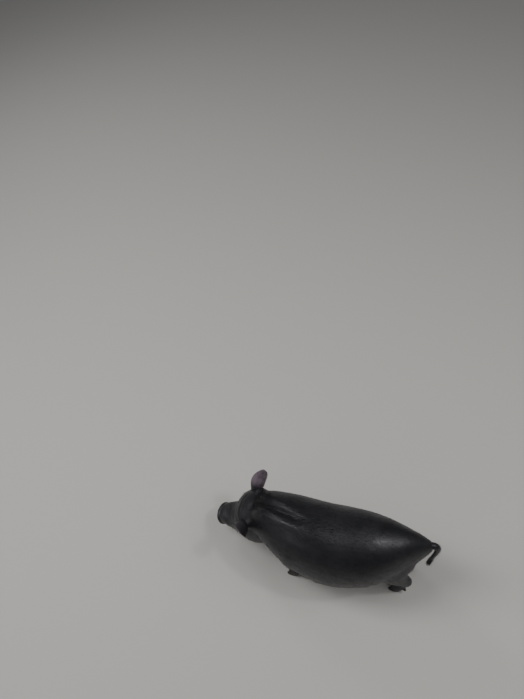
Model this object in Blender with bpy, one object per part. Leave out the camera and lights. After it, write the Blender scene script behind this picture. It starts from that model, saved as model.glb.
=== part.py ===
"""A young pot-bellied pig that stands with its head lowered and turned a little to its right.

Metres, +Z up. The pig faces -Y, its left side is towards +X, and the floor is z = 0.
The body is modelled whole from lofted forms, smoothed, and parted by thin cuts into its named pieces.
Eyes, ears, hooves, dewclaws and tail are made on their own and trimmed to the body.
"""

import math
import random
from collections import namedtuple

import bmesh
import bpy
import numpy as np
from mathutils import Matrix, Vector
from mathutils.bvhtree import BVHTree

# Driving dimensions, in metres and degrees
BACK_HEIGHT = 0.260
BELLY_HEIGHT = 0.055
BODY_HALF_WIDTH = 0.090
HEAD_LENGTH = 0.172
HEAD_TURN = 12.0
HEAD_DIP = 40.0
EYE_RADIUS = 0.0085
EAR_LENGTH = 0.062
EAR_HALF_WIDTH = 0.0275
HOOF_HEIGHT = 0.0145
GAP = 0.0003

# How finely the body is worked
VOXEL = 0.0022
RING_POINTS = 40
TRUNK_RINGS = 60
HEAD_RINGS = 44
LEG_RINGS = 36
TAIL_RINGS = 22
SOFTEN_ROUNDS = 48
LEAST_SOFT = 0.15
TRUNK_FACES = 4700
FINE_FACES = 9000

# How square the cross-sections are: 2 is an ellipse
TRUNK_SQUARE = 2.12
HEAD_SQUARE = 2.25
LEG_SQUARE = 2.10
DISC_SQUARE = 2.30

# A station along the back: distance forward of the tail root, offset to the left, height of the
# widest line, half width, rise to the back, drop to the belly, turn to the right, dip of the axis
Station = namedtuple("Station", "along aside mid wide rise drop turn dip")
SPINE = (
    Station(0.003, 0.000, 0.193, 0.009, 0.010, 0.020, 0, 0),
    Station(0.020, 0.001, 0.185, 0.021, 0.031, 0.040, 0, 0),
    Station(0.050, 0.004, 0.175, 0.039, 0.060, 0.062, 0, 0),
    Station(0.095, 0.008, 0.167, 0.064, 0.083, 0.074, 0, 0),
    Station(0.140, 0.010, 0.160, 0.080, BACK_HEIGHT - 0.161, 0.087, 0, 0),
    Station(0.190, 0.009, 0.154, 0.088, BACK_HEIGHT - 0.154, 0.096, 0, 0),
    Station(0.240, 0.005, 0.152, BODY_HALF_WIDTH, BACK_HEIGHT - 0.153, 0.152 - BELLY_HEIGHT, 0, 0),
    Station(0.290, -0.005, 0.156, 0.087, BACK_HEIGHT - 0.155, 0.091, 0, 0),
    Station(0.330, -0.018, 0.163, 0.078, 0.092, 0.080, 8, 6),
    Station(0.358, -0.031, 0.168, 0.067, 0.072, 0.071, 14, 20),
    Station(0.380, -0.042, 0.166, 0.059, 0.053, 0.062, 14, 34),
    Station(0.400, -0.049, 0.156, 0.048, 0.040, 0.048, 12, 40),
)

# A level ring of a leg: offset from the midline, distance forward of the tail root, height, half sizes
Ring = namedtuple("Ring", "aside along height wide long")
FORE_LEG = (
    Ring(0.042, 0.298, 0.190, 0.026, 0.036),
    Ring(0.048, 0.298, 0.148, 0.030, 0.041),
    Ring(0.048, 0.294, 0.110, 0.0245, 0.0310),
    Ring(0.045, 0.298, 0.078, 0.0185, 0.0215),
    Ring(0.043, 0.302, 0.055, 0.0160, 0.0172),
    Ring(0.042, 0.302, 0.039, 0.0128, 0.0138),
    Ring(0.042, 0.304, 0.0255, 0.0146, 0.0162),
    Ring(0.042, 0.308, 0.0135, 0.0144, 0.0162),
    Ring(0.042, 0.310, 0.002, 0.0144, 0.0162),
)
HIND_LEG = (
    Ring(0.026, 0.100, 0.200, 0.022, 0.042),
    Ring(0.032, 0.102, 0.160, 0.027, 0.054),
    Ring(0.039, 0.098, 0.124, 0.0255, 0.0440),
    Ring(0.042, 0.084, 0.096, 0.0210, 0.0315),
    Ring(0.041, 0.064, 0.071, 0.0156, 0.0225),
    Ring(0.040, 0.056, 0.056, 0.0140, 0.0174),
    Ring(0.040, 0.061, 0.039, 0.0123, 0.0138),
    Ring(0.040, 0.067, 0.0255, 0.0144, 0.0160),
    Ring(0.040, 0.073, 0.0135, 0.0144, 0.0162),
    Ring(0.040, 0.075, 0.002, 0.0144, 0.0162),
)
# The legs step apart below one height, in full below another
STEP_TOP = 0.170
STEP_SPAN = 0.120
# Each leg: rings, side, offset of the pair to the left, step forward, height of the cut from the body
Leg = namedtuple("Leg", "rings side drift step cut")
LEGS = {
    "leg_front_left": Leg(FORE_LEG, 1, -0.006, 0.010, 0.070),
    "leg_front_right": Leg(FORE_LEG, -1, -0.006, -0.010, 0.070),
    "leg_hind_left": Leg(HIND_LEG, 1, 0.006, -0.006, 0.080),
    "leg_hind_right": Leg(HIND_LEG, -1, 0.006, 0.010, 0.080),
}
LEG_ROOM = 0.006

# A section of the head: share of its length, height of the middle, half width, rise, drop
Section = namedtuple("Section", "share mid wide rise drop")
SKULL = (
    Section(-0.08, -0.004, 0.040, 0.034, 0.044),
    Section(0.02, -0.004, 0.052, 0.048, 0.056),
    Section(0.14, -0.006, 0.060, 0.057, 0.063),
    Section(0.28, -0.010, 0.063, 0.062, 0.061),
    Section(0.40, -0.010, 0.058, 0.055, 0.054),
    Section(0.52, -0.011, 0.0490, 0.0395, 0.0450),
    Section(0.64, -0.011, 0.0415, 0.0300, 0.0370),
    Section(0.76, -0.009, 0.0355, 0.0265, 0.0310),
    Section(0.85, -0.005, 0.0315, 0.0255, 0.0290),
    Section(0.905, -0.002, 0.0280, 0.0230, 0.0240),
    Section(0.955, 0.000, 0.0260, 0.0210, 0.0205),
)
DISC_HALF_WIDTH = 0.0280
DISC_HALF_HEIGHT = 0.0222
# Rings of the snout disc: distance behind its face, share of the half sizes
DISC_RINGS = ((0.016, 0.80), (0.0085, 0.93), (0.0060, 1.00), (0.0020, 1.03), (0.0005, 1.00), (0.0, 0.93))

# Places on the head: share of its length, distance to the side, height over its axis
Spot = namedtuple("Spot", "share aside over")
HEAD_ROOT = Vector((-0.048, -0.385, 0.166))
EYE_SPOT = Spot(0.43, 0.022, 0.010)
EAR_SPOT = Spot(0.12, 0.0400, 0.0340)
NOSTRIL_SPOT = Spot(1.0, 0.0104, 0.0015)
NOSTRIL_SIZE = (0.0044, 0.0060, 0.0080)

# Eyes: the way they look out (to the side, forward, up), the opening's half sizes and the lids
EYE_OUT = (0.82, 0.36, 0.44)
EYE_OPENING = (0.0064, 0.0040)
OPENING_SCALE = 1.08
OPENING_POINTS = 20
EYE_SUNK = 0.0004
LID_DOME = (0.0108, 0.0094, 0.0096)
LID_EDGE = 0.0011
LID_SIDES = 6

# The mouth line: share of the head's length and height, from its corner to the front
MOUTH_LINE = ((0.49, -0.0225), (0.57, -0.0270), (0.69, -0.0280), (0.82, -0.0235))
MOUTH_HALF_GAP = 0.0011
MOUTH_DEPTH = 0.0035
MOUTH_REACH = 0.0040
MOUTH_SIDE_POINTS = 13
MOUTH_FRONT_POINTS = 6

# Ears: the way they grow and the way their cups face (to the side, forward, up)
EAR_GROWTH = (0.58, -0.58, 0.52)
EAR_FACING = (0.60, 0.80, 0.0)
EAR_THICKNESS = 0.0034
EAR_ROOT_DEPTH = 0.007
EAR_ROWS = 10
EAR_COLUMNS = 8

# Planes that part the neck from the trunk and the head from the neck: a point, turn and dip
Cut = namedtuple("Cut", "point turn dip")
TRUNK_CUT = Cut(Vector((-0.018, -0.330, 0.163)), 6, -9)
HEAD_CUT = Cut(HEAD_ROOT + Vector((0, -0.003, 0)), HEAD_TURN, 26)

# The tail's route from inside the rump: backward of the tail root, offset to the left, height, radius
TAIL_ROUTE = (
    (-0.014, 0.000, 0.1930, 0.0085),
    (-0.001, 0.000, 0.1960, 0.0078),
    (0.008, 0.001, 0.1850, 0.0066),
    (0.008, 0.003, 0.1600, 0.0054),
    (0.004, 0.005, 0.1330, 0.0044),
    (0.002, 0.005, 0.1120, 0.0036),
    (0.002, 0.004, 0.0950, 0.0030),
    (0.003, 0.003, 0.0840, 0.0016),
)
TAIL_SIDES = 10
# The tuft: how many locks, where they start along the tail, how long and how thick they are
TUFT_LOCKS = 16
TUFT_START = (0.66, 0.97)
TUFT_LENGTH = (0.014, 0.024)
TUFT_WIDTH = 0.0017
TUFT_THICKNESS = 0.0007
TUFT_FLARE = 0.30
TUFT_SEED = 7

# Folds of the nape: distance from the midline, width, rise, and the groove's width and depth
NAPE_FOLD = (0.019, 0.010, 0.0032)
NAPE_GROOVE = (0.007, 0.0042)
NAPE_START = 0.255
NAPE_END = 0.430

# Muscle masses: place (to the side, forward, height), shift of the pair to the left, half sizes
TRUNK_MASSES = {
    "shoulder": ((0.047, -0.303, 0.166), -0.006, (0.034, 0.048, 0.062)),
    "ham": ((0.026, -0.096, 0.150), 0.006, (0.029, 0.060, 0.062)),
}
HEAD_MASSES = {
    "cheek": (Spot(0.27, 0.031, -0.026), (0.031, 0.039, 0.042)),
    "brow": (Spot(0.37, 0.030, 0.020), (0.017, 0.017, 0.022)),
    "ear_base": (Spot(0.10, 0.038, 0.028), (0.017, 0.016, 0.018)),
}

# Feet: the slope of the plane where the leg meets its hooves, and each toe's size and place
HOOF_SLOPE = 14.0
TOE_SPACING = 0.0075
TOE_HALF_WIDTH = 0.0066
TOE_LENGTH = 0.0300
TOE_BACK = 0.0125
TOE_RAKE = 0.66
TOE_TAPER = 0.30
TOE_LEAN = 0.0018
TOE_POINTS = 12
TOE_LEVELS = ((0.0, 0.97), (0.0012, 1.0), (0.010, 0.99), (0.022, 0.95))
# Dewclaws: root and direction (to the side, back, up), and rings of reach and radius
CLAW_ROOT = (0.0080, 0.0080, 0.0040)
CLAW_AXIS = (0.22, 0.50, -0.84)
CLAW_RINGS = ((0.0, 0.0045), (0.0070, 0.0045), (0.0125, 0.0034), (0.0160, 0.0012))
CLAW_SIDES = 8

SKIN_COLOUR = (0.016, 0.016, 0.019, 1.0)
EAR_COLOUR = (0.150, 0.100, 0.115, 1.0)
EYE_COLOUR = (0.010, 0.006, 0.004, 1.0)
HOOF_COLOUR = (0.030, 0.026, 0.024, 1.0)
SHARP_ANGLE = 50.0


def clear_scene():
    """Remove every object that the scene starts with."""
    for obj in list(bpy.data.objects):
        bpy.data.objects.remove(obj, do_unlink=True)


def heading(turn, dip):
    """Unit vectors forward, left and up of an axis turned to the right and dipped, in degrees."""
    turn, dip = math.radians(turn), math.radians(dip)
    forward = Vector((-math.sin(turn) * math.cos(dip), -math.cos(turn) * math.cos(dip), -math.sin(dip)))
    left = Vector((math.cos(turn), -math.sin(turn), 0.0))
    return forward, left, forward.cross(left)


FORWARD, LEFT, DORSAL = heading(HEAD_TURN, HEAD_DIP)
HEAD_AXES = Matrix((LEFT, DORSAL, FORWARD)).transposed()


def on_head(spot, side=1):
    """The point of a spot on the head, mirrored for side -1."""
    along = FORWARD * spot.share * HEAD_LENGTH
    return HEAD_ROOT + along + LEFT * spot.aside * side + DORSAL * spot.over


def smooth_through(knots, values, at):
    """Values at the given places on a smooth curve through the knots."""
    knots = np.asarray(knots, float)
    values = np.asarray(values, float)
    slopes = np.gradient(values, knots, axis=0)
    at = np.asarray(at, float)
    i = np.clip(np.searchsorted(knots, at) - 1, 0, len(knots) - 2)
    span = (knots[i + 1] - knots[i])[:, None]
    t = (at - knots[i])[:, None] / span
    near = (2 * t**3 - 3 * t**2 + 1) * values[i] + (t**3 - 2 * t**2 + t) * span * slopes[i]
    far = (3 * t**2 - 2 * t**3) * values[i + 1] + (t**3 - t**2) * span * slopes[i + 1]
    return near + far


def new_object(name, mesh):
    """A linked object that holds the mesh."""
    obj = bpy.data.objects.new(name, mesh)
    bpy.context.scene.collection.objects.link(obj)
    return obj


def object_from(name, bm):
    """A new object with the built mesh, its faces turned outwards."""
    bm.normal_update()
    bmesh.ops.recalc_face_normals(bm, faces=bm.faces)
    mesh = bpy.data.meshes.new(name)
    bm.to_mesh(mesh)
    bm.free()
    return new_object(name, mesh)


def oval(centre, across, up, wide, rise, drop, square=2.0, count=RING_POINTS):
    """Points round one cross-section, square above 2 for flatter sides."""
    points = []
    for i in range(count):
        angle = 2 * math.pi * i / count
        c, s = math.cos(angle), math.sin(angle)
        reach = (abs(c) ** square + abs(s) ** square) ** (-1 / square)
        height = rise if s > 0 else drop
        points.append(centre + across * (wide * reach * c) + up * (height * reach * s))
    return points


def bridge(bm, low, high):
    """Faces between two rings of the same number of vertices."""
    for i in range(len(low)):
        j = (i + 1) % len(low)
        bm.faces.new((low[i], low[j], high[j], high[i]))


def loft(name, rings, ring_closes=False):
    """One closed surface through the rings, capped at both ends or bent round to meet itself."""
    bm = bmesh.new()
    rows = [[bm.verts.new(point) for point in ring] for ring in rings]
    for low, high in zip(rows, rows[1:]):
        bridge(bm, low, high)
    if ring_closes:
        bridge(bm, rows[-1], rows[0])
    else:
        bm.faces.new(rows[0][::-1])
        bm.faces.new(rows[-1])
    return object_from(name, bm)


def ball(name, centre, radii, axes=Matrix.Identity(3), segments=20):
    """An ellipsoid with its half sizes along the columns of axes."""
    bm = bmesh.new()
    bmesh.ops.create_uvsphere(bm, u_segments=segments, v_segments=segments * 2 // 3, radius=1.0)
    scale = Matrix.Diagonal(Vector(radii))
    for vert in bm.verts:
        vert.co = centre + axes @ (scale @ vert.co)
    return object_from(name, bm)


def settle(obj):
    """Put the result of the object's modifiers into its mesh."""
    graph = bpy.context.evaluated_depsgraph_get()
    mesh = bpy.data.meshes.new_from_object(obj.evaluated_get(graph))
    obj.modifiers.clear()
    obj.data = mesh
    return obj


def discard(obj):
    bpy.data.objects.remove(obj, do_unlink=True)


def copy_of(obj, name):
    return new_object(name, obj.data.copy())


def combine(obj, other, operation, solver="EXACT"):
    """Apply one Boolean to the object, then discard the other object."""
    modifier = obj.modifiers.new(operation.title(), "BOOLEAN")
    modifier.operation = operation
    modifier.solver = solver
    modifier.object = other
    settle(obj)
    discard(other)
    return obj


def connected(bm):
    """The vertices of each separate surface."""
    left = set(bm.verts)
    groups = []
    while left:
        group = {left.pop()}
        edge = set(group)
        while edge:
            edge = {e.other_vert(v) for v in edge for e in v.link_edges} - group
            group |= edge
        left -= group
        groups.append(group)
    return groups


def enclosed(verts):
    """The volume inside the closed surface that these vertices carry."""
    total = 0.0
    for face in {f for v in verts for f in v.link_faces}:
        first = face.verts[0].co
        for a, b in zip(face.verts[1:], face.verts[2:]):
            total += first.dot(a.co.cross(b.co)) / 6
    return total


def keep_largest(obj):
    """Drop every closed surface of the object but the one with the most volume."""
    bm = bmesh.new()
    bm.from_mesh(obj.data)
    groups = connected(bm)
    if len(groups) > 1:
        largest = max(groups, key=enclosed)
        bmesh.ops.delete(bm, geom=[v for g in groups if g is not largest for v in g], context="VERTS")
        bm.to_mesh(obj.data)
    bm.free()
    return obj


def trim(obj, point, normal):
    """Cut away what lies on the side of the plane that its normal points to, and close the cut."""
    bm = bmesh.new()
    bm.from_mesh(obj.data)
    everything = bm.verts[:] + bm.edges[:] + bm.faces[:]
    bmesh.ops.bisect_plane(bm, geom=everything, plane_co=point, plane_no=normal, clear_outer=True)
    rim = [edge for edge in bm.edges if edge.is_boundary]
    bmesh.ops.holes_fill(bm, edges=rim, sides=0)
    bmesh.ops.recalc_face_normals(bm, faces=bm.faces)
    bm.to_mesh(obj.data)
    bm.free()
    return keep_largest(obj)


def grown(obj, distance):
    """A copy of the object with its surface moved out along its normals."""
    other = copy_of(obj, obj.name + "_grown")
    set_points(other.data, points_of(obj.data) + normals_of(obj.data) * distance)
    return other


def joined(name, objects):
    """One object that holds the meshes of all the objects."""
    bm = bmesh.new()
    for obj in objects:
        bm.from_mesh(obj.data)
        discard(obj)
    return object_from(name, bm)


def points_of(mesh):
    flat = np.empty(len(mesh.vertices) * 3)
    mesh.vertices.foreach_get("co", flat)
    return flat.reshape(-1, 3)


def normals_of(mesh):
    flat = np.empty(len(mesh.vertices) * 3)
    mesh.vertices.foreach_get("normal", flat)
    return flat.reshape(-1, 3)


def set_points(mesh, points):
    mesh.vertices.foreach_set("co", points.ravel())
    mesh.update()


def bump(distance, width):
    """A smooth rise to 1 where the distance is 0."""
    return np.exp(-((distance / width) ** 2))


def spine_rings():
    """Cross-sections of the trunk and neck, read from a smooth curve through the stations."""
    rows = np.array(SPINE)
    places = np.linspace(rows[0, 0], rows[-1, 0], TRUNK_RINGS)
    rings = []
    for along, aside, mid, wide, rise, drop, turn, dip in smooth_through(rows[:, 0], rows, places):
        _, left, up = heading(turn, dip)
        rings.append(oval(Vector((aside, -along, mid)), left, up, wide, rise, drop, TRUNK_SQUARE))
    return rings


def head_rings():
    """Cross-sections of the skull, muzzle and lower jaw."""
    rows = np.array(SKULL)
    places = np.linspace(rows[0, 0], rows[-1, 0], HEAD_RINGS)
    rings = []
    for share, mid, wide, rise, drop in smooth_through(rows[:, 0], rows, places):
        centre = on_head(Spot(share, 0.0, mid))
        rings.append(oval(centre, LEFT, DORSAL, wide, rise, drop, HEAD_SQUARE))
    return rings


def leg_rings(leg, top, room=0.0):
    """Level cross-sections of one leg from its foot up to a height, with room added all round."""
    rows = np.array(leg.rings)[::-1]
    rows[:, 1] += leg.step * np.clip((STEP_TOP - rows[:, 2]) / STEP_SPAN, 0, 1)
    levels = np.linspace(rows[0, 2], top, LEG_RINGS)
    rings = []
    for aside, along, height, wide, long in smooth_through(rows[:, 2], rows, levels):
        centre = Vector((aside * leg.side + leg.drift, -along, height))
        across = Vector((1, 0, 0))
        ahead = Vector((0, -1, 0))
        rings.append(oval(centre, across, ahead, wide + room, long + room, long + room, LEG_SQUARE))
    return rings


def mass_forms():
    """Muscle masses that round the shoulders, hams, cheeks and brow."""
    forms = []
    for side in (1, -1):
        for name, ((aside, along, height), drift, radii) in TRUNK_MASSES.items():
            forms.append(ball(name, Vector((aside * side + drift, along, height)), radii))
        for name, (spot, radii) in HEAD_MASSES.items():
            forms.append(ball(name, on_head(spot, side), radii, HEAD_AXES))
    return forms


def body_forms():
    """The closed forms that together make the flesh."""
    forms = [loft("trunk", spine_rings()), loft("skull", head_rings())]
    forms += [loft(name, leg_rings(leg, leg.rings[0].height)) for name, leg in LEGS.items()]
    return forms + mass_forms()


def head_share(points):
    """How far along the head each point lies, 0 at its root and 1 at the snout's face."""
    return (points - np.array(HEAD_ROOT)) @ np.array(FORWARD) / HEAD_LENGTH


def soften(obj):
    """Relax the surface, less on the head and feet, where the forms are small."""
    points = points_of(obj.data)
    on_face = np.clip(1.0 - head_share(points), LEAST_SOFT, 1.0)
    on_foot = np.clip(points[:, 2] / 0.10, LEAST_SOFT, 1.0)
    group = obj.vertex_groups.new(name="soft")
    for i, weight in enumerate(on_face * on_foot):
        group.add([i], float(weight), "REPLACE")
    modifier = obj.modifiers.new("Smooth", "SMOOTH")
    modifier.factor = 0.5
    modifier.iterations = SOFTEN_ROUNDS
    modifier.vertex_group = group.name
    return settle(obj)


def sculpt_neck(points, normals):
    """Raise the two folds of the nape and sink the groove between them."""
    rows = np.array(SPINE)
    along = -points[:, 1]
    midline = np.interp(along, rows[:, 0], rows[:, 1])
    aside = np.abs(points[:, 0] - midline)
    reach = np.clip((along - NAPE_START) / 0.05, 0, 1) * np.clip((NAPE_END - along) / 0.03, 0, 1)
    upper = np.clip(normals[:, 2], 0, 1) * reach
    apart, width, rise = NAPE_FOLD
    groove_width, groove_depth = NAPE_GROOVE
    lift = rise * bump(aside - apart, width) - groove_depth * bump(aside, groove_width)
    return points + normals * (upper * lift)[:, None]


def flesh():
    """The whole body in one smooth closed surface, with no eyes, ears, hooves or tail."""
    body = joined("flesh", body_forms())
    modifier = body.modifiers.new("Remesh", "REMESH")
    modifier.mode = "VOXEL"
    modifier.voxel_size = VOXEL
    settle(body)
    soften(body)
    set_points(body.data, sculpt_neck(points_of(body.data), normals_of(body.data)))
    return body


def simpler(obj, name, faces):
    """A copy of the object with about this many triangles."""
    other = copy_of(obj, name)
    modifier = other.modifiers.new("Decimate", "DECIMATE")
    modifier.ratio = faces / (2 * len(obj.data.polygons))
    modifier.use_collapse_triangulate = True
    return settle(other)


def surface_of(obj):
    """The object's surface, for casting rays at it."""
    bm = bmesh.new()
    bm.from_mesh(obj.data)
    tree = BVHTree.FromBMesh(bm)
    bm.free()
    return tree


def head_way(way, side):
    """A unit vector given by its shares to one side, forward and up from the head."""
    aside, ahead, up = way
    return (LEFT * side * aside + FORWARD * ahead + DORSAL * up).normalized()


def eye_axes(side):
    """Unit vectors along the opening of the eye towards its back corner, up across it, and out."""
    out = head_way(EYE_OUT, side)
    back = DORSAL * 0.25 - FORWARD
    back = (back - out * back.dot(out)).normalized()
    return back, back.cross(out) * -side, out


def eye_centre(surface, side):
    """The centre of an eyeball whose front lies a little under the skin round it."""
    _, _, out = eye_axes(side)
    skin, _, _, _ = surface.ray_cast(on_head(EYE_SPOT, side), out)
    return skin - out * (EYE_RADIUS + EYE_SUNK)


def almond():
    """Points round the opening between the lids: along it and across it."""
    half_long = EYE_OPENING[0] * OPENING_SCALE
    half_high = EYE_OPENING[1] * OPENING_SCALE
    points = []
    for i in range(OPENING_POINTS):
        angle = 2 * math.pi * i / OPENING_POINTS
        rise = math.copysign(abs(math.sin(angle)) ** 1.25, math.sin(angle))
        points.append((half_long * math.cos(angle), half_high * rise))
    return points


def lid_edge(centre, side):
    """A rounded edge along the opening of one eye, lying on the eyeball."""
    back, up, out = eye_axes(side)
    reach = EYE_RADIUS + LID_EDGE
    spots = []
    for s, t in almond():
        spots.append(centre + back * s + up * t + out * math.sqrt(reach**2 - s * s - t * t))
    rings = []
    for i, spot in enumerate(spots):
        along = (spots[(i + 1) % len(spots)] - spots[i - 1]).normalized()
        outward = (spot - centre).normalized()
        across = along.cross(outward).normalized()
        rings.append(oval(spot, across, outward, LID_EDGE, LID_EDGE, LID_EDGE, count=LID_SIDES))
    return loft("lid_edge", rings, ring_closes=True)


def eye_opening(centre, side):
    """A straight-walled cutter with the outline of the opening."""
    back, up, out = eye_axes(side)
    rings = []
    for depth in (0.0, 0.030):
        rings.append([centre + back * s + up * t + out * depth for s, t in almond()])
    return loft("opening", rings)


def add_lids(head, centre, side):
    """Swell the lids over the eyeball, open them, and sink the socket."""
    axes = Matrix(eye_axes(side)).transposed()
    room = (EYE_RADIUS + GAP,) * 3
    combine(head, ball("dome", centre, LID_DOME, axes, 20), "UNION", "MANIFOLD")
    combine(head, eye_opening(centre, side), "DIFFERENCE", "MANIFOLD")
    combine(head, lid_edge(centre, side), "UNION", "MANIFOLD")
    combine(head, ball("socket", centre, room, segments=16), "DIFFERENCE", "MANIFOLD")
    return keep_largest(head)


def mouth_points(surface, side):
    """Points on the skin with their outward directions, from one corner of the mouth to the middle."""
    line = np.array(MOUTH_LINE)
    places = np.linspace(0, len(line) - 1, MOUTH_SIDE_POINTS)
    found = []
    for share, over in smooth_through(np.arange(len(line)), line, places):
        found.append((on_head(Spot(share, 0.0, over)), LEFT * side))
    front, _ = found[-1]
    for step in range(1, MOUTH_FRONT_POINTS + 1):
        angle = math.pi / 2 * step / MOUTH_FRONT_POINTS
        found.append((front, LEFT * side * math.cos(angle) + FORWARD * math.sin(angle)))
    return [(surface.ray_cast(core, out)[0], out) for core, out in found]


def mouth_cutter(surface):
    """A thin wedge that follows the line of the mouth round the snout."""
    right = mouth_points(surface, -1)
    points = mouth_points(surface, 1) + right[-2::-1]
    rings = []
    for i, (skin, out) in enumerate(points):
        to_end = min(i, len(points) - 1 - i)
        half = MOUTH_HALF_GAP * min(1.0, 0.4 + to_end / 4)
        deep = MOUTH_DEPTH * min(1.0, 0.4 + to_end / 4)
        rise = DORSAL * half
        rings.append([skin + out * MOUTH_REACH, skin + rise, skin - out * deep, skin - rise])
    return loft("mouth", rings)


def snout_disc():
    """The flat disc at the end of the snout, with a rounded rim."""
    rings = []
    for behind, share in DISC_RINGS:
        centre = HEAD_ROOT + FORWARD * (HEAD_LENGTH - behind)
        high = DISC_HALF_HEIGHT * share
        rings.append(oval(centre, LEFT, DORSAL, DISC_HALF_WIDTH * share, high, high, DISC_SQUARE, 28))
    return loft("disc", rings)


def make_head(fine, surface, eyes):
    """The head with its snout disc, nostrils, line of the mouth, lids and eye sockets."""
    head = copy_of(fine, "head")
    forward, _, _ = heading(HEAD_CUT.turn, HEAD_CUT.dip)
    trim(head, HEAD_CUT.point + forward * GAP, -forward)
    combine(head, snout_disc(), "UNION")
    combine(head, mouth_cutter(surface), "DIFFERENCE")
    for side in eyes:
        nostril = ball("nostril", on_head(NOSTRIL_SPOT, side), NOSTRIL_SIZE, HEAD_AXES, 12)
        combine(head, nostril, "DIFFERENCE")
    for side, centre in eyes.items():
        add_lids(head, centre, side)
    return head


def make_neck(coarse):
    """The neck, between its two thin cuts."""
    neck = copy_of(coarse, "neck")
    forward, _, _ = heading(HEAD_CUT.turn, HEAD_CUT.dip)
    trim(neck, HEAD_CUT.point, forward)
    forward, _, _ = heading(TRUNK_CUT.turn, TRUNK_CUT.dip)
    return trim(neck, TRUNK_CUT.point + forward * GAP, -forward)


def leg_space(leg, grow):
    """The room round one leg below its cut from the body."""
    rings = leg_rings(leg, leg.cut + grow, LEG_ROOM + grow)
    sole = [Vector((point.x, point.y, -0.010)) for point in rings[0]]
    return loft("leg_space", [sole] + rings)


def make_torso(coarse):
    """The trunk without the neck and without the legs below their cuts."""
    torso = copy_of(coarse, "torso")
    forward, _, _ = heading(TRUNK_CUT.turn, TRUNK_CUT.dip)
    trim(torso, TRUNK_CUT.point, forward)
    for leg in LEGS.values():
        combine(torso, leg_space(leg, GAP), "DIFFERENCE")
    return keep_largest(torso)


def foot_place(leg, ring=-1):
    """The middle of a leg's ring near the floor, with the leg's own step."""
    low = leg.rings[ring]
    return Vector((low.aside * leg.side + leg.drift, -(low.along + leg.step), low.height))


def hoof_plane(leg):
    """A point and the upward normal of the sloping plane where the foot meets its hooves."""
    tilt = math.radians(HOOF_SLOPE)
    place = foot_place(leg, -2)
    return Vector((place.x, place.y, HOOF_HEIGHT)), Vector((0, math.sin(tilt), math.cos(tilt)))


def make_leg(fine, name, leg):
    """One leg from its cut at the body down to its hooves."""
    limb = copy_of(fine, name)
    combine(limb, leg_space(leg, 0.0), "INTERSECT")
    point, up = hoof_plane(leg)
    return trim(keep_largest(limb), point + up * GAP, -up)


def hoof_ring(leg, toe, height, shrink):
    """One level outline of a toe: blunt at the heel, narrowing to its rounded tip."""
    place = foot_place(leg)
    heel = place.y + TOE_BACK
    length = TOE_LENGTH - height * TOE_RAKE
    points = []
    for i in range(TOE_POINTS):
        angle = 2 * math.pi * i / TOE_POINTS
        ahead = 0.5 - 0.5 * math.cos(angle)
        width = TOE_HALF_WIDTH * shrink * math.copysign(abs(math.sin(angle)) ** 0.75, math.sin(angle))
        width *= 1.0 - TOE_TAPER * ahead**2
        aside = toe * (TOE_SPACING - TOE_LEAN * ahead**2)
        points.append(Vector((place.x + aside + width, heel - length * ahead, height)))
    return points


def make_hoof(leg, toe, name):
    """One hoof: a flat sole, sloping walls, and a top cut along the foot's sloping plane."""
    hoof = loft(name, [hoof_ring(leg, toe, height, shrink) for height, shrink in TOE_LEVELS])
    point, up = hoof_plane(leg)
    return trim(hoof, point, up)


def make_dewclaw(leg, toe, name, limb):
    """A small claw behind the foot, trimmed where it meets the leg."""
    outward = Matrix.Diagonal(Vector((toe, 1, 1)))
    root = foot_place(leg, -3) + outward @ Vector(CLAW_ROOT)
    axis = (outward @ Vector(CLAW_AXIS)).normalized()
    across = axis.cross(Vector((1, 0, 0))).normalized()
    beside = axis.cross(across)
    rings = []
    for reach, radius in CLAW_RINGS:
        rings.append(oval(root + axis * reach, beside, across, radius, radius, radius, count=CLAW_SIDES))
    claw = loft(name, rings)
    combine(claw, grown(limb, GAP), "DIFFERENCE")
    return keep_largest(claw)


def ear_axes(side):
    """Unit vectors along one ear, across it, and out of its cup."""
    along = head_way(EAR_GROWTH, side)
    front = head_way(EAR_FACING, side)
    front = (front - along * front.dot(along)).normalized()
    return along, front.cross(along) * side, front


def ear_point(side, t, s, inset):
    """A point of the ear: t from root to tip, s from edge to edge, inset towards the cup."""
    along, across, front = ear_axes(side)
    half = EAR_HALF_WIDTH * (0.80 + 0.62 * t) * max(1.0 - t * t, 0.0) ** 0.72
    half = max(half, 0.0012)
    curl = math.radians(112 - 80 * t)
    radius = half / curl + 0.0004
    angle = s * curl
    root = on_head(EAR_SPOT, side)
    bend = front * (0.010 * t * t - 0.006 * t)
    centre = root + along * (EAR_LENGTH * t - EAR_ROOT_DEPTH * (1 - t)) + bend
    reach = radius - inset
    return centre + across * (reach * math.sin(angle)) + front * (radius - reach * math.cos(angle))


def ear_sheet(bm, side, face):
    """A grid of vertices over one face of the ear, thinner towards the tip and the edges."""
    sheet = []
    for r in range(EAR_ROWS + 1):
        t = 1 - (1 - r / EAR_ROWS) ** 1.35
        row = []
        for c in range(EAR_COLUMNS + 1):
            s = -1 + 2 * c / EAR_COLUMNS
            thick = EAR_THICKNESS * (1 - 0.55 * t) * (1 - 0.45 * s * s)
            floor = 0.030 * max(0.0, 0.30 - t) * (1 - s * s) if face > 0 else 0.0
            row.append(bm.verts.new(ear_point(side, t, s, thick * face + floor)))
        sheet.append(row)
    return sheet


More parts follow.
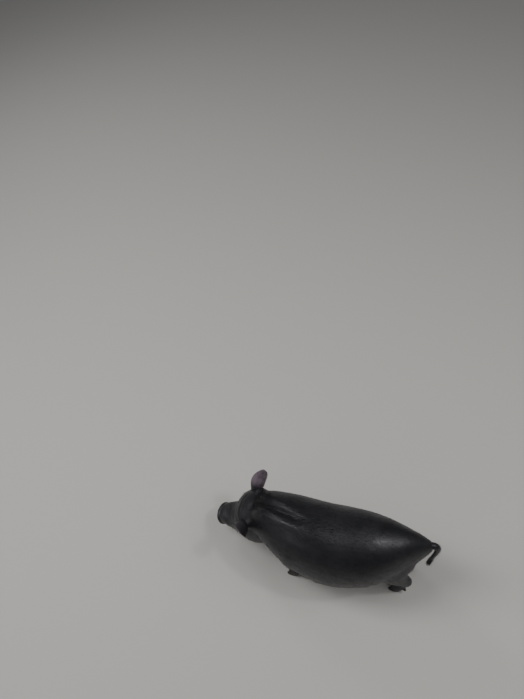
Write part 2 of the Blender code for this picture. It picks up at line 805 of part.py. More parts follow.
def make_ear(side, name, head):
    """A cupped leaf, thick at its root and thin at its edge, trimmed where it meets the head."""
    bm = bmesh.new()
    outer = ear_sheet(bm, side, -0.5)
    inner = ear_sheet(bm, side, 0.5)
    for r in range(EAR_ROWS):
        for c in range(EAR_COLUMNS):
            bm.faces.new((outer[r][c], outer[r][c + 1], outer[r + 1][c + 1], outer[r + 1][c]))
            bm.faces.new((inner[r][c], inner[r + 1][c], inner[r + 1][c + 1], inner[r][c + 1]))
        for c in (0, EAR_COLUMNS):
            bm.faces.new((outer[r][c], outer[r + 1][c], inner[r + 1][c], inner[r][c]))
    for r in (0, EAR_ROWS):
        for c in range(EAR_COLUMNS):
            bm.faces.new((outer[r][c], outer[r][c + 1], inner[r][c + 1], inner[r][c]))
    bmesh.ops.triangulate(bm, faces=bm.faces)
    ear = object_from(name, bm)
    combine(ear, grown(head, GAP), "DIFFERENCE", "MANIFOLD")
    return keep_largest(ear)


def tail_spots():
    """Points along the middle of the tail with their radii."""
    route = np.array(TAIL_ROUTE)
    places = np.linspace(0, len(route) - 1, TAIL_RINGS)
    spots = smooth_through(np.arange(len(route)), route, places)
    return [(Vector((aside, back, height)), radius) for back, aside, height, radius in spots]


def tail_rope(spots):
    """The bare tail: a tapering rope through the spots."""
    rings = []
    for i, (place, radius) in enumerate(spots):
        ahead = spots[min(i + 1, len(spots) - 1)][0]
        behind = spots[max(i - 1, 0)][0]
        along = (ahead - behind).normalized()
        up = Vector((1, 0, 0)).cross(along).normalized()
        rings.append(oval(place, up.cross(along), up, radius, radius, radius, count=TAIL_SIDES))
    return loft("tail", rings)


def tuft_lock(root, outward, length):
    """One flat, tapering lock of hair that leaves the tail and hangs down."""
    down = Vector((0, 0, -1))
    beside = outward.cross(down).normalized()
    rings = []
    for share, full in ((0.0, 0.85), (0.20, 1.0), (0.45, 0.95), (0.70, 0.70), (0.90, 0.38), (1.0, 0.14)):
        flare = outward * (TUFT_FLARE * length * share * (1.0 - 0.5 * share))
        place = root + down * (length * share) + flare
        wide = TUFT_WIDTH * full
        thick = TUFT_THICKNESS * full
        rings.append(oval(place, beside, outward, wide, thick, thick, count=4))
    return loft("lock", rings)


def tail_tuft(spots):
    """The locks of the tuft, spread round the end of the tail."""
    rng = random.Random(TUFT_SEED)
    locks = []
    first, last = TUFT_START
    for i in range(TUFT_LOCKS):
        start = first + (last - first) * i / (TUFT_LOCKS - 1)
        place, radius = spots[round(start * (len(spots) - 1))]
        angle = i * math.radians(137.5) + rng.uniform(-0.3, 0.3)
        outward = Vector((math.cos(angle), math.sin(angle), 0))
        locks.append(tuft_lock(place + outward * radius * 0.4, outward, rng.uniform(*TUFT_LENGTH)))
    return locks


def fuse(obj, others):
    """Join many closed forms to the object with one Boolean, then discard them."""
    group = bpy.data.collections.new("forms")
    for other in others:
        group.objects.link(other)
    modifier = obj.modifiers.new("Fuse", "BOOLEAN")
    modifier.operation = "UNION"
    modifier.solver = "EXACT"
    modifier.operand_type = "COLLECTION"
    modifier.collection = group
    settle(obj)
    for other in others:
        discard(other)
    bpy.data.collections.remove(group)
    return keep_largest(obj)


def make_tail(torso):
    """A straight, tapering tail that hangs behind the rump and ends in a tuft."""
    spots = tail_spots()
    tail = fuse(tail_rope(spots), tail_tuft(spots))
    combine(tail, grown(torso, GAP), "DIFFERENCE", "MANIFOLD")
    return keep_largest(tail)


def finish_with(obj, colour, roughness):
    """Give the object its own material and smooth shading."""
    material = bpy.data.materials.new(obj.name)
    material.use_nodes = True
    shader = material.node_tree.nodes["Principled BSDF"]
    shader.inputs["Base Color"].default_value = colour
    shader.inputs["Roughness"].default_value = roughness
    shader.inputs["Metallic"].default_value = 0.0
    obj.data.materials.clear()
    obj.data.materials.append(material)
    obj.data.shade_smooth()
    obj.data.set_sharp_from_angle(angle=math.radians(SHARP_ANGLE))


def stand_on_origin(nodes):
    """Move the whole body so that the middle of its box is over the origin."""
    points = np.vstack([points_of(node.data) for node in nodes])
    middle = (points.min(axis=0) + points.max(axis=0)) / 2
    for node in nodes:
        node.data.transform(Matrix.Translation((-middle[0], -middle[1], 0.0)))


def make_legs(fine):
    """The four legs, and the horn of their feet."""
    limbs = []
    horn = []
    for name, leg in LEGS.items():
        limb = make_leg(fine, name, leg)
        limbs.append(limb)
        place = name.removeprefix("leg_")
        for toe, which in ((-leg.side, "inner"), (leg.side, "outer")):
            horn.append(make_hoof(leg, toe, f"hoof_{place}_{which}"))
            horn.append(make_dewclaw(leg, toe, f"dewclaw_{place}_{which}", limb))
    return limbs, horn


def main():
    clear_scene()
    body = flesh()
    surface = surface_of(body)
    fine = simpler(body, "fine", FINE_FACES)
    coarse = simpler(body, "coarse", TRUNK_FACES)
    discard(body)
    centres = {side: eye_centre(surface, side) for side in (1, -1)}
    head = make_head(fine, surface, centres)
    torso = make_torso(coarse)
    limbs, horn = make_legs(fine)
    skin = [head, make_neck(coarse), torso, make_tail(torso)] + limbs
    ears = [make_ear(1, "ear_left", head), make_ear(-1, "ear_right", head)]
    eyes = [ball(name, centres[side], (EYE_RADIUS,) * 3, segments=14)
            for side, name in ((1, "eye_left"), (-1, "eye_right"))]
    discard(fine)
    discard(coarse)
    finishes = (
        (skin, SKIN_COLOUR, 0.50),
        (ears, EAR_COLOUR, 0.50),
        (eyes, EYE_COLOUR, 0.08),
        (horn, HOOF_COLOUR, 0.45),
    )
    for nodes, colour, roughness in finishes:
        for node in nodes:
            finish_with(node, colour, roughness)
    stand_on_origin(skin + ears + eyes + horn)


main()
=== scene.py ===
"""A young pot-bellied pig, standing with its head lowered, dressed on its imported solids.

Metres, +Z up. The pig faces -Y and its left side is towards +X.
"""

import math
from collections import namedtuple

import bmesh
import bpy
import numpy as np
from mathutils import Matrix, Vector, noise
from mathutils.bvhtree import BVHTree


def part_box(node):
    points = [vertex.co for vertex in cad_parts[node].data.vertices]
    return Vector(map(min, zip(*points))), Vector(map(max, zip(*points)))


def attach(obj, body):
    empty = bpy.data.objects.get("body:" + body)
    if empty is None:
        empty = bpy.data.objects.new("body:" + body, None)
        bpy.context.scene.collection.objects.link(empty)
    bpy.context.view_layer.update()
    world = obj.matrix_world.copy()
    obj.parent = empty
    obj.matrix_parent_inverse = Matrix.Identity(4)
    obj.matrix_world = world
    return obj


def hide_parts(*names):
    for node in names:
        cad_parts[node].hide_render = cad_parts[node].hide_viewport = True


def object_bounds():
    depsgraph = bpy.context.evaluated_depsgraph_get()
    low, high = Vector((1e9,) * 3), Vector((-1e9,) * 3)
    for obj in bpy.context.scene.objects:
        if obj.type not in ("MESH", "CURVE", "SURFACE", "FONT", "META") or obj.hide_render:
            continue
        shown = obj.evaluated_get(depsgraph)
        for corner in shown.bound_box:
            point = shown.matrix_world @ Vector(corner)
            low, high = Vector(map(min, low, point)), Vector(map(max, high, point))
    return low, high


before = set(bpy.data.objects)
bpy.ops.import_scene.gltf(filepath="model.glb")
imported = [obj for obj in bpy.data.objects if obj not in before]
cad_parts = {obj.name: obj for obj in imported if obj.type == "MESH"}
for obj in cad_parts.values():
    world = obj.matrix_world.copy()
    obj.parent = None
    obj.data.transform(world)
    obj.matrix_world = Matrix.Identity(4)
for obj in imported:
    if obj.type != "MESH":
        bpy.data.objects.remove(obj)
cad_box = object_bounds()

# The head's directions and length, and where its root lies in the plan that the solids follow
HEAD_TURN = 12.0
HEAD_DIP = 40.0
HEAD_LENGTH = 0.172
PLAN_HEAD_ROOT = Vector((-0.048, -0.385, 0.166))

# How finely the skin is worked, how far the solids grow so that the cuts between them close, and
# how far the skin is then moved back in where bristles grow
BASE_VOXEL = 0.0030
SEAM_GROWTH = 0.0004
EYE_GROWTH = 0.0010
COAT_DEPTH = 0.0008
SHARP_ANGLE = 60
SEED = 20417

# The photograph's frame and camera
IMAGE_WIDTH = 524
IMAGE_HEIGHT = 699
FOCAL_PIXELS = 566.0
SENSOR = 36.0
CAMERA_HEIGHT = 1.5
CAMERA_AZIMUTH = 105.30
CAMERA_DIP = 53.60
CAMERA_ROLL = -9.40
RUMP_PIXEL = (432.0, 548.0)

LEGS = ("front_left", "front_right", "hind_left", "hind_right")
TOES = ("inner", "outer")
FLESH = ["torso", "neck", "head", *(f"leg_{leg}" for leg in LEGS)]
EARS = {1: "ear_left", -1: "ear_right"}
EYES = {1: "eye_left", -1: "eye_right"}


def heading(turn, dip):
    """Unit vectors forward, left and up of an axis turned to the right and dipped, in degrees."""
    turn, dip = math.radians(turn), math.radians(dip)
    flat = math.cos(dip)
    forward = Vector((-math.sin(turn) * flat, -math.cos(turn) * flat, -math.sin(dip)))
    left = Vector((math.cos(turn), -math.sin(turn), 0.0))
    return forward, left, forward.cross(left)


FORWARD, LEFT, DORSAL = heading(HEAD_TURN, HEAD_DIP)
HEAD_AXES = Matrix((LEFT, DORSAL, FORWARD)).transposed()
AHEAD, ASIDE, ABOVE = np.array(FORWARD), np.array(LEFT), np.array(DORSAL)


def read(rows, name, width, kind=np.float32):
    """One property of all the vertices, edges or triangles of a mesh."""
    flat = np.empty(len(rows) * width, kind)
    rows.foreach_get(name, flat)
    return flat.reshape(-1, width)


def points_of(obj):
    return read(obj.data.vertices, "co", 3).astype(float)


def normals_of(obj):
    return read(obj.data.vertices, "normal", 3).astype(float)


def set_points(obj, points):
    obj.data.vertices.foreach_set("co", points.astype(np.float32).ravel())
    obj.data.update()


def push(obj, lift):
    """Move the object's points along their normals."""
    set_points(obj, points_of(obj) + normals_of(obj) * np.reshape(lift, (-1, 1)))


def find_head_root():
    """Where the head's root lies in the frame, found from the middle of the snout's face."""
    points = points_of(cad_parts["head"])
    ahead = points @ AHEAD
    face = points[ahead > ahead.max() - 0.0003]
    beside = face @ ASIDE
    over = face @ ABOVE
    middle = LEFT * (beside.min() + beside.max()) / 2 + DORSAL * (over.min() + over.max()) / 2
    return middle + FORWARD * (ahead.max() - HEAD_LENGTH)


HEAD_ROOT = find_head_root()
SHIFT = HEAD_ROOT - PLAN_HEAD_ROOT


def on_head(share, aside, over, side=1):
    """A point of the head: share of its length, distance to one side, height over its axis."""
    return HEAD_ROOT + FORWARD * share * HEAD_LENGTH + LEFT * aside * side + DORSAL * over


def head_places(points):
    """Distances along the head, to its left and over its axis, of many points."""
    from_root = points - np.array(HEAD_ROOT)
    return from_root @ AHEAD, from_root @ ASIDE, from_root @ ABOVE


def apart_from(points, place):
    return np.linalg.norm(points - np.array(place), axis=1)


def new_object(name, data):
    obj = bpy.data.objects.new(name, data)
    bpy.context.scene.collection.objects.link(obj)
    return obj


def bmesh_of(obj):
    bm = bmesh.new()
    bm.from_mesh(obj.data)
    return bm


def write_back(bm, obj):
    bm.to_mesh(obj.data)
    bm.free()
    return obj


def object_from(name, bm):
    bm.normal_update()
    bmesh.ops.recalc_face_normals(bm, faces=bm.faces)
    return write_back(bm, new_object(name, bpy.data.meshes.new(name)))


def discard(obj):
    bpy.data.objects.remove(obj, do_unlink=True)


def settle(obj):
    """Put the result of the object's modifiers into its mesh."""
    graph = bpy.context.evaluated_depsgraph_get()
    mesh = bpy.data.meshes.new_from_object(obj.evaluated_get(graph))
    obj.modifiers.clear()
    obj.data = mesh
    return obj


def combine(obj, other, operation):
    """Apply one Boolean to the object, then discard the other object."""
    modifier = obj.modifiers.new(operation.title(), "BOOLEAN")
    modifier.operation = operation
    modifier.solver = "MANIFOLD"
    modifier.object = other
    settle(obj)
    discard(other)
    return obj


def remesh(obj, voxel):
    modifier = obj.modifiers.new("Remesh", "REMESH")
    modifier.mode = "VOXEL"
    modifier.voxel_size = voxel
    return settle(obj)


def bump(distance, width):
    """A smooth rise to 1 where the distance is 0."""
    return np.exp(-((distance / width) ** 2))


def step(values, low, high):
    """A smooth rise from 0 at low to 1 at high."""
    t = np.clip((values - low) / (high - low), 0.0, 1.0)
    return t * t * (3.0 - 2.0 * t)


def between(values, low, risen, falling, high):
    """A smooth rise to 1 and a smooth fall back to 0."""
    return step(values, low, risen) * (1 - step(values, falling, high))


def close_to(points, places, low, high):
    """1 close to any of the places, falling to 0 between the two distances."""
    return np.max([1 - step(apart_from(points, place), low, high) for place in places], axis=0)


def relax(obj, rounds, weights=None, shrink=0.0):
    """Smooth the surface with little loss of volume, or with more of it where shrink is above 0."""
    points = points_of(obj)
    edges = read(obj.data.edges, "vertices", 2, np.int32)
    ends = np.concatenate([edges[:, 0], edges[:, 1]])
    others = np.concatenate([edges[:, 1], edges[:, 0]])
    count = np.maximum(np.bincount(ends, minlength=len(points)), 1)[:, None]
    share = np.ones(len(points)) if weights is None else weights
    for _ in range(rounds):
        for factor in (0.55, -0.57 * (1.0 - shrink)):
            total = [np.bincount(ends, points[others, k], len(points)) for k in range(3)]
            points += (np.stack(total, axis=1) / count - points) * (factor * share)[:, None]
    set_points(obj, points)


def keep_largest(obj):
    """Drop every scrap that isn't joined to the object's largest surface."""
    bm = bmesh_of(obj)
    left = set(bm.verts)
    parts = []
    while left:
        part = set()
        fresh = {next(iter(left))}
        while fresh:
            part |= fresh
            fresh = {edge.other_vert(vert) for vert in fresh for edge in vert.link_edges} - part
        left -= part
        parts.append(part)
    scraps = set().union(*parts) - max(parts, key=len)
    bmesh.ops.delete(bm, geom=list(scraps), context="VERTS")
    write_back(bm, obj)


def copy_node(name, grow=0.0):
    """A welded copy of a CAD node with its surface moved outwards."""
    bm = bmesh_of(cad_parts[name])
    bmesh.ops.remove_doubles(bm, verts=bm.verts, dist=1e-6)
    obj = object_from(name + "_copy", bm)
    push(obj, grow)
    return obj


def joined(name, objects):
    bm = bmesh.new()
    for obj in objects:
        bm.from_mesh(obj.data)
        discard(obj)
    return write_back(bm, new_object(name, bpy.data.meshes.new(name)))


def refine(obj, wanted):
    """Split in four the faces whose middles are wanted."""
    bm = bmesh_of(obj)
    chosen = wanted(np.array([face.calc_center_median() for face in bm.faces]))
    edges = {edge for face, take in zip(bm.faces, chosen) if take for edge in face.edges}
    bmesh.ops.subdivide_edges(bm, edges=list(edges), cuts=1, use_grid_fill=True)
    odd = [face for face in bm.faces if len(face.verts) > 4]
    bmesh.ops.triangulate(bm, faces=odd)
    write_back(bm, obj)


def oval(centre, across, up, wide, rise, count):
    turns = [2 * math.pi * i / count for i in range(count)]
    return [centre + across * (wide * math.cos(a)) + up * (rise * math.sin(a)) for a in turns]


def loft(name, rings, ring_closes=False):
    """One closed surface through the rings, capped at both ends or bent round to meet itself."""
    bm = bmesh.new()
    rows = [[bm.verts.new(point) for point in ring] for ring in rings]
    pairs = list(zip(rows, rows[1:]))
    if ring_closes:
        pairs.append((rows[-1], rows[0]))
    for low, high in pairs:
        for i in range(len(low)):
            j = (i + 1) % len(low)
            bm.faces.new((low[i], low[j], high[j], high[i]))
    if not ring_closes:
        bm.faces.new(rows[0][::-1])
        bm.faces.new(rows[-1])
    return object_from(name, bm)


def ball(name, centre, radii, axes=Matrix.Identity(3), segments=48):
    bm = bmesh.new()
    bmesh.ops.create_uvsphere(bm, u_segments=segments, v_segments=segments * 2 // 3, radius=1.0)
    for vert in bm.verts:
        vert.co = centre + axes @ Vector(a * b for a, b in zip(vert.co, radii))
    return object_from(name, bm)


def smooth_through(knots, values, at):
    """Values at the given places on a smooth curve through the knots."""
    knots = np.asarray(knots, float)
    values = np.asarray(values, float)
    slopes = np.gradient(values, knots, axis=0)
    at = np.asarray(at, float)
    i = np.clip(np.searchsorted(knots, at) - 1, 0, len(knots) - 2)
    span = (knots[i + 1] - knots[i])[:, None]
    t = (at - knots[i])[:, None] / span
    near = (2 * t**3 - 3 * t**2 + 1) * values[i] + (t**3 - 2 * t**2 + t) * span * slopes[i]
    far = (3 * t**2 - 2 * t**3) * values[i + 1] + (t**3 - t**2) * span * slopes[i + 1]
    return near + far


# Skin: the base surface

def middle_of(name):
    low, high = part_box(name)
    return (low + high) / 2


def eye_centre(side):
    return middle_of(EYES[side])


def eye_radius(side):
    low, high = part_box(EYES[side])
    return (high - low).x / 2


def base_skin():
    """One smooth closed surface round the flesh nodes, with the eye sockets filled."""
    copies = [copy_node(name, SEAM_GROWTH) for name in FLESH]
    copies += [copy_node(name, EYE_GROWTH) for name in EYES.values()]
    skin = remesh(joined("skin", copies), BASE_VOXEL)
    points = points_of(skin)
    along, _, _ = head_places(points)
    relax(skin, 14, 1.0 - 0.55 * step(along, 0.02, 0.10))
    haired = step(points[:, 2], 0.020, 0.040) * (1 - step(along, 0.145, 0.165))
    push(skin, -COAT_DEPTH * haired)
    return skin


# How far up the feet and how far round the tail's root and the eyes the skin is worked finely
FEET_TOP = 0.055
RUMP_REACH = 0.045
EYE_REACH = 0.019


def near_head(points):
    along, beside, over = head_places(points)
    return (along > -0.020) & (np.hypot(beside, over) < 0.11)


def near_fine_parts(points):
    """The head, the feet and the root of the tail."""
    near_tail = apart_from(points, TAIL_ROOT) < RUMP_REACH
    return near_head(points) | (points[:, 2] < FEET_TOP) | near_tail


def near_details(points):
    """The eyes, the mouth and the end of the snout."""
    along, _, over = head_places(points)
    near = (along > 0.145) | ((along > 0.070) & (over < -0.008) & (over > -0.040))
    for side in EYES:
        near |= apart_from(points, eye_centre(side)) < EYE_REACH
    return near & (along > 0.0)


# Ears

EAR_LENGTH = 0.062
EAR_HALF_WIDTH = 0.0275
EAR_PLACE = (0.12, 0.0400, 0.0340)
EAR_BLEND_PLACE = (0.12, 0.0400, 0.0300)
# How pale each ear is inside its cup and on its back. The pink inside the cups is the ears' own
# colour. The pale back of the right ear is painted light shining through that ear. The left ear's back
# keeps its own dark skin.
EAR_PALENESS_AND_GLOW = {1: (0.75, 0.10), -1: (0.90, 1.00)}
EAR_ROWS = 44
EAR_COLUMNS = 30


def ear_axes(side):
    """Unit vectors along one ear, across it, and out of its cup."""
    along = (LEFT * side * 0.58 + DORSAL * 0.52 - FORWARD * 0.58).normalized()
    front = FORWARD * 0.80 + LEFT * side * 0.60
    front = (front - along * front.dot(along)).normalized()
    return along, front.cross(along) * side, front


def ear_point(side, t, s, inset):
    """A point of the ear: t from root to tip, s from edge to edge, inset towards the cup."""
    along, across, front = ear_axes(side)
    half = EAR_HALF_WIDTH * (0.80 + 0.62 * t) * max(1.0 - t * t, 0.0) ** 0.72
    half = max(half, 0.0009)
    curl = math.radians(112 - 80 * t)
    radius = half / curl + 0.0004
    angle = s * curl
    root = on_head(*EAR_PLACE, side)
    bend = front * (0.010 * t * t - 0.006 * t)
    centre = root + along * (EAR_LENGTH * t - 0.007 * (1 - t)) + bend
    wave = 0.0010 * math.sin(7.0 * t + 1.3 * side) * s * s * (1 - t)
    reach = radius - inset
    raised = radius - reach * math.cos(angle) + wave
    return centre + across * (reach * math.sin(angle)) + front * raised


def ear_ribs(t, s):
    """Low ridges that fan out inside the ear from its root."""
    fan = math.cos(9.0 * s * (1.0 - 0.4 * t)) * (1 - s * s)
    return 0.00035 * fan * max(0.0, 1.0 - t * 1.1)


def ear_sheet(bm, side, face):
    sheet = []
    for r in range(EAR_ROWS + 1):
        t = 1 - (1 - r / EAR_ROWS) ** 1.35
        row = []
        for c in range(EAR_COLUMNS + 1):
            s = math.sin(math.pi / 2 * (-1 + 2 * c / EAR_COLUMNS))
            thick = 0.0034 * (1 - 0.55 * t) * (1 - 0.55 * s * s)
            floor = 0.030 * max(0.0, 0.30 - t) * (1 - s * s) if face > 0 else 0.0
            inset = thick * face + floor + ear_ribs(t, s) * (face > 0)
            row.append(bm.verts.new(ear_point(side, t, s, inset)))
        sheet.append(row)
    return sheet


def make_ear(side):
    """A finely made cupped ear with a rounded edge."""
    bm = bmesh.new()
    outer = ear_sheet(bm, side, -0.5)
    inner = ear_sheet(bm, side, 0.5)
    for r in range(EAR_ROWS):
        for c in range(EAR_COLUMNS):
            bm.faces.new((outer[r][c], outer[r][c + 1], outer[r + 1][c + 1], outer[r + 1][c]))
            bm.faces.new((inner[r][c], inner[r + 1][c], inner[r + 1][c + 1], inner[r][c + 1]))
        for c in (0, EAR_COLUMNS):
            bm.faces.new((outer[r][c], outer[r + 1][c], inner[r + 1][c], inner[r][c]))
    for r in (0, EAR_ROWS):
        for c in range(EAR_COLUMNS):
            bm.faces.new((outer[r][c], outer[r][c + 1], inner[r][c + 1], inner[r][c]))
    return object_from("ear", bm)


# Tail

TAIL_COUNT = 70
TAIL_ROUTE = (
    (-0.014, 0.000, 0.1930, 0.0085),
    (-0.001, 0.000, 0.1960, 0.0078),
    (0.008, 0.001, 0.1850, 0.0066),
    (0.008, 0.003, 0.1600, 0.0054),
    (0.004, 0.005, 0.1330, 0.0044),
    (0.002, 0.005, 0.1120, 0.0036),
    (0.002, 0.004, 0.0950, 0.0030),
    (0.003, 0.003, 0.0840, 0.0016),
)


def tail_spots(count=TAIL_COUNT):
    """Points with radii along the tail's middle line, in the frame."""
    route = np.array(TAIL_ROUTE)
    spots = smooth_through(np.arange(len(route)), route, np.linspace(0, len(route) - 1, count))
    return [(Vector((aside, back, height)) + SHIFT, radius) for back, aside, height, radius in spots]


TAIL_ROOT = tail_spots(len(TAIL_ROUTE))[1][0]


def make_tail():
    """The tail's skin: a tapering, slightly kinked rope with fine creases."""
    spots = tail_spots()
    rings = []
    for i, (place, radius) in enumerate(spots):
        ahead = (spots[min(i + 1, TAIL_COUNT - 1)][0] - spots[max(i - 1, 0)][0]).normalized()
        up = Vector((1, 0, 0)).cross(ahead).normalized()
        creased = radius * (1.0 + 0.035 * math.cos(i * 1.9))
        rings.append(oval(place, up.cross(ahead), up, creased, creased, 20))
    return loft("tail", rings)


# Sculpting

def noise_at(points, size, seed):
    """Smooth noise between about -1 and 1, with features of the given size."""
    offset = Vector((seed * 7.31, seed * 3.17, seed * 5.73))
    return np.array([noise.noise(Vector(p) / size + offset) for p in points])


def sculpt(skin):
    """Move the skin along its normals by the sum of its folds."""
    points = points_of(skin)
    normals = normals_of(skin)
    lift = neck_folds(points, normals) + leg_folds(points) + head_folds(points, normals)
    lift += teats(points, normals) + trunk_folds(points) + rump_form(points)
    lift += 0.00040 * noise_at(points, 0.034, 1) + 0.00012 * noise_at(points, 0.010, 2)
    push(skin, lift)


# How far to the left the back's middle line lies at each distance along -Y
MIDLINE = np.array([
    (0.000, 0.000), (0.050, 0.004), (0.140, 0.010), (0.240, 0.005),
    (0.290, -0.005), (0.330, -0.018), (0.380, -0.042), (0.430, -0.060),
])


def midline(along):
    return np.interp(along + SHIFT.y, MIDLINE[:, 0], MIDLINE[:, 1]) + SHIFT.x


def off_midline(points):
    return points[:, 0] - midline(-points[:, 1])


def neck_folds(points, normals):
    """Soft folds that run back from the ears over the nape, and shallow rings round the throat."""
    forward = SHIFT.y - points[:, 1]
    aside = off_midline(points)
    upper = np.clip(normals[:, 2], 0, 1)
    reach = between(forward, 0.260, 0.345, 0.415, 0.440)
    ridge = 0.0024 * bump(np.abs(aside) - 0.028, 0.0150) - 0.0012 * bump(aside, 0.0060)
    ends = between(forward, 0.250, 0.300, 0.285, 0.370)
    eased = 0.0020 * bump(aside, 0.0075) - 0.0018 * bump(np.abs(aside) - 0.019, 0.0100)
    wander = 0.010 * noise_at(points, 0.06, 3)
    patchy = 0.55 + 0.45 * noise_at(points, 0.045, 13)
    collar = between(forward, 0.325, 0.350, 0.400, 0.418)
    phase = (forward + wander + 0.15 * (points[:, 2] - 0.16)) / 0.024
    rings = np.abs(np.cos(np.pi * phase)) - 0.6
    throat = 0.0011 * collar * patchy * rings * np.clip(1 - normals[:, 2], 0, 1)
    return upper * (reach * ridge + ends * eased) + throat


# Creases of the trunk: three points of each (to the side, forward, height), its width and its depth
TRUNK_CREASES = (
    (((0.062, 0.262, 0.092), (0.082, 0.268, 0.120), (0.088, 0.278, 0.150)), 0.0060, 0.0022),
    (((0.055, 0.330, 0.100), (0.070, 0.334, 0.130), (0.072, 0.338, 0.165)), 0.0070, 0.0016),
    (((0.040, 0.122, 0.085), (0.066, 0.128, 0.108), (0.078, 0.134, 0.145)), 0.0065, 0.0022),
    (((0.058, 0.138, 0.078), (0.076, 0.148, 0.098), (0.085, 0.158, 0.120)), 0.0055, 0.0012),
)
CREASE_SPOTS = 24


def trunk_folds(points):
    """Soft creases behind the elbow, at the shoulder and at the thigh, with a swell beside each."""
    lift = np.zeros(len(points))
    fade = np.sin(np.pi * np.linspace(0.08, 0.92, CREASE_SPOTS))
    for knots, width, depth in TRUNK_CREASES:
        line = smooth_through(np.arange(3), knots, np.linspace(0, 2, CREASE_SPOTS))
        drift = midline(line[:, 1] - SHIFT.y)
        for side in (1, -1):
            spots = np.column_stack([drift + side * line[:, 0], SHIFT.y - line[:, 1], line[:, 2]])
            apart = np.linalg.norm((points[:, None] - spots[None]) * (0.6, 1, 1), axis=2)
            faded = fade[apart.argmin(axis=1)]
            close = apart.min(axis=1)
            lift -= depth * faded * bump(close, width)
            lift += 0.4 * depth * faded * bump(close - 2.0 * width, width)
    return lift


def rump_form(points):
    """The small ring under the root of the tail."""
    middle = np.array(TAIL_ROOT) + (0.0, -0.004, -0.024)
    apart = np.linalg.norm((points - middle) * (1.0, 0.5, 0.8), axis=1)
    return 0.0014 * bump(apart - 0.0062, 0.0026) - 0.0022 * bump(apart, 0.0030)


def foot_middle(leg):
    """The middle of the boxes of a foot's two hooves."""
    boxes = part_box(f"hoof_{leg}_inner"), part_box(f"hoof_{leg}_outer")
    (a, b), (c, d) = boxes
    return (a + b + c + d) / 4


def leg_folds(points):
    """Fine creases and a ridge above the hooves of each foot, and a cleft between its toes."""
    lift = np.zeros(len(points))
    height = points[:, 2]
    patchy = 0.5 + 0.5 * noise_at(points, 0.022, 5)
    wander = 0.0035 * noise_at(points, 0.018, 6)
    for leg in LEGS:
        middle = foot_middle(leg)
        aside = points[:, 0] - middle.x
        ahead = points[:, 1] - middle.y
        near = np.hypot(aside, ahead - 0.006) < 0.034
        band = near * between(height, 0.018, 0.024, 0.036, 0.062)
        phase = (height + wander + 0.22 * ahead) / 0.0074
        lift += 0.00055 * band * patchy * (np.abs(np.sin(np.pi * phase)) - 0.5)
        cleft = near * bump(aside, 0.0022) * (1 - step(height, 0.016, 0.034))
        lift -= 0.0030 * cleft * step(np.abs(ahead - 0.004), 0.004, 0.010)
        lift += 0.0005 * near * bump(height - 0.0180 + 0.25 * ahead, 0.0018)
    return lift


TEAT_ROWS = 5


def teats(points, normals):
    """Two rows of small teats along the belly."""
    lift = np.zeros(len(points))
    below = np.clip(-normals[:, 2], 0, 1)
    for row in range(TEAT_ROWS):
        along = 0.125 + 0.036 * row - SHIFT.y
        for side in (1, -1):
            centre = float(midline(along)) + side * (0.026 + 0.003 * row)
            apart = np.hypot(points[:, 0] - centre, points[:, 1] + along)
            lift += 0.0028 * below * bump(apart, 0.0026)
    return lift


def head_folds(points, normals):
    """The face's folds: across the snout, over the brow, along its middle and on the cheek."""
    along, beside, over = head_places(points)
    share = along / HEAD_LENGTH
    facing_up = np.clip(normals @ ABOVE, 0, 1)
    sideways = np.abs(normals @ ASIDE)
    wander = 0.0040 * noise_at(points, 0.024, 4)
    patchy = 0.62 + 0.55 * noise_at(points, 0.020, 7)
    before_snout = 1 - step(share, 0.46, 0.56)
    phase = (along + wander - 12.0 * beside**2) / (0.0105 + 0.018 * (0.95 - share))
    snout = between(share, 0.46, 0.56, 0.84, 0.92) * (0.10 + 0.90 * facing_up)
    lift = 0.0014 * snout * patchy * (np.abs(np.sin(np.pi * phase)) ** 0.7 - 0.60)
    brow = between(share, 0.14, 0.24, 0.40, 0.47) * facing_up * (1 - 0.6 * bump(beside, 0.008))
    turn = 2 * np.pi * (along + 1.2 * wander + 7.0 * beside**2) / 0.0165
    lift += 0.0008 * brow * patchy * np.cos(turn)
    groove = 0.0006 * step(share, 0.02, 0.14) * before_snout * facing_up
    lift -= groove * bump(beside + 0.3 * wander, 0.0045)
    pouch = step(share, 0.22, 0.32) * before_snout * sideways * bump(over + 0.016, 0.024)
    turn = 2 * np.pi * (along + 0.6 * over + wander) / 0.0150
    lift += 0.0010 * pouch * patchy * np.cos(turn)
    return lift + snout_form(points, normals)


RIM_WAVES = 16
SLOW_WAVES = 3


def round_snout(skin):
    """Bring the snout's rim to a smooth oval: keep its slow waves and drop its quick ones."""
    points = points_of(skin)
    along, beside, over = head_places(points)
    wide, high = beside / DISC_SIZE[0], over / DISC_SIZE[1]
    angle, reach = np.arctan2(high, wide), np.hypot(wide, high)
    turns = np.arange(1, RIM_WAVES + 1)[:, None] * angle
    slow, quick = turns[:SLOW_WAVES], turns[SLOW_WAVES:]
    waves = [np.ones(len(angle)), np.cos(slow), np.sin(slow), np.cos(quick), np.sin(quick)]
    waves = np.vstack(waves)
    kept = 2 * SLOW_WAVES + 1
    rim = (along > 0.95 * HEAD_LENGTH) & (reach > 0.88)
    fitted = np.linalg.lstsq(waves[:, rim].T, reach[rim], rcond=None)[0]
    share = (fitted[:kept] @ waves[:kept]) / (fitted @ waves) - 1
    share *= step(along, 0.92 * HEAD_LENGTH, 0.95 * HEAD_LENGTH)
    moved = beside[:, None] * ASIDE + over[:, None] * ABOVE
    set_points(skin, points + moved * share[:, None])


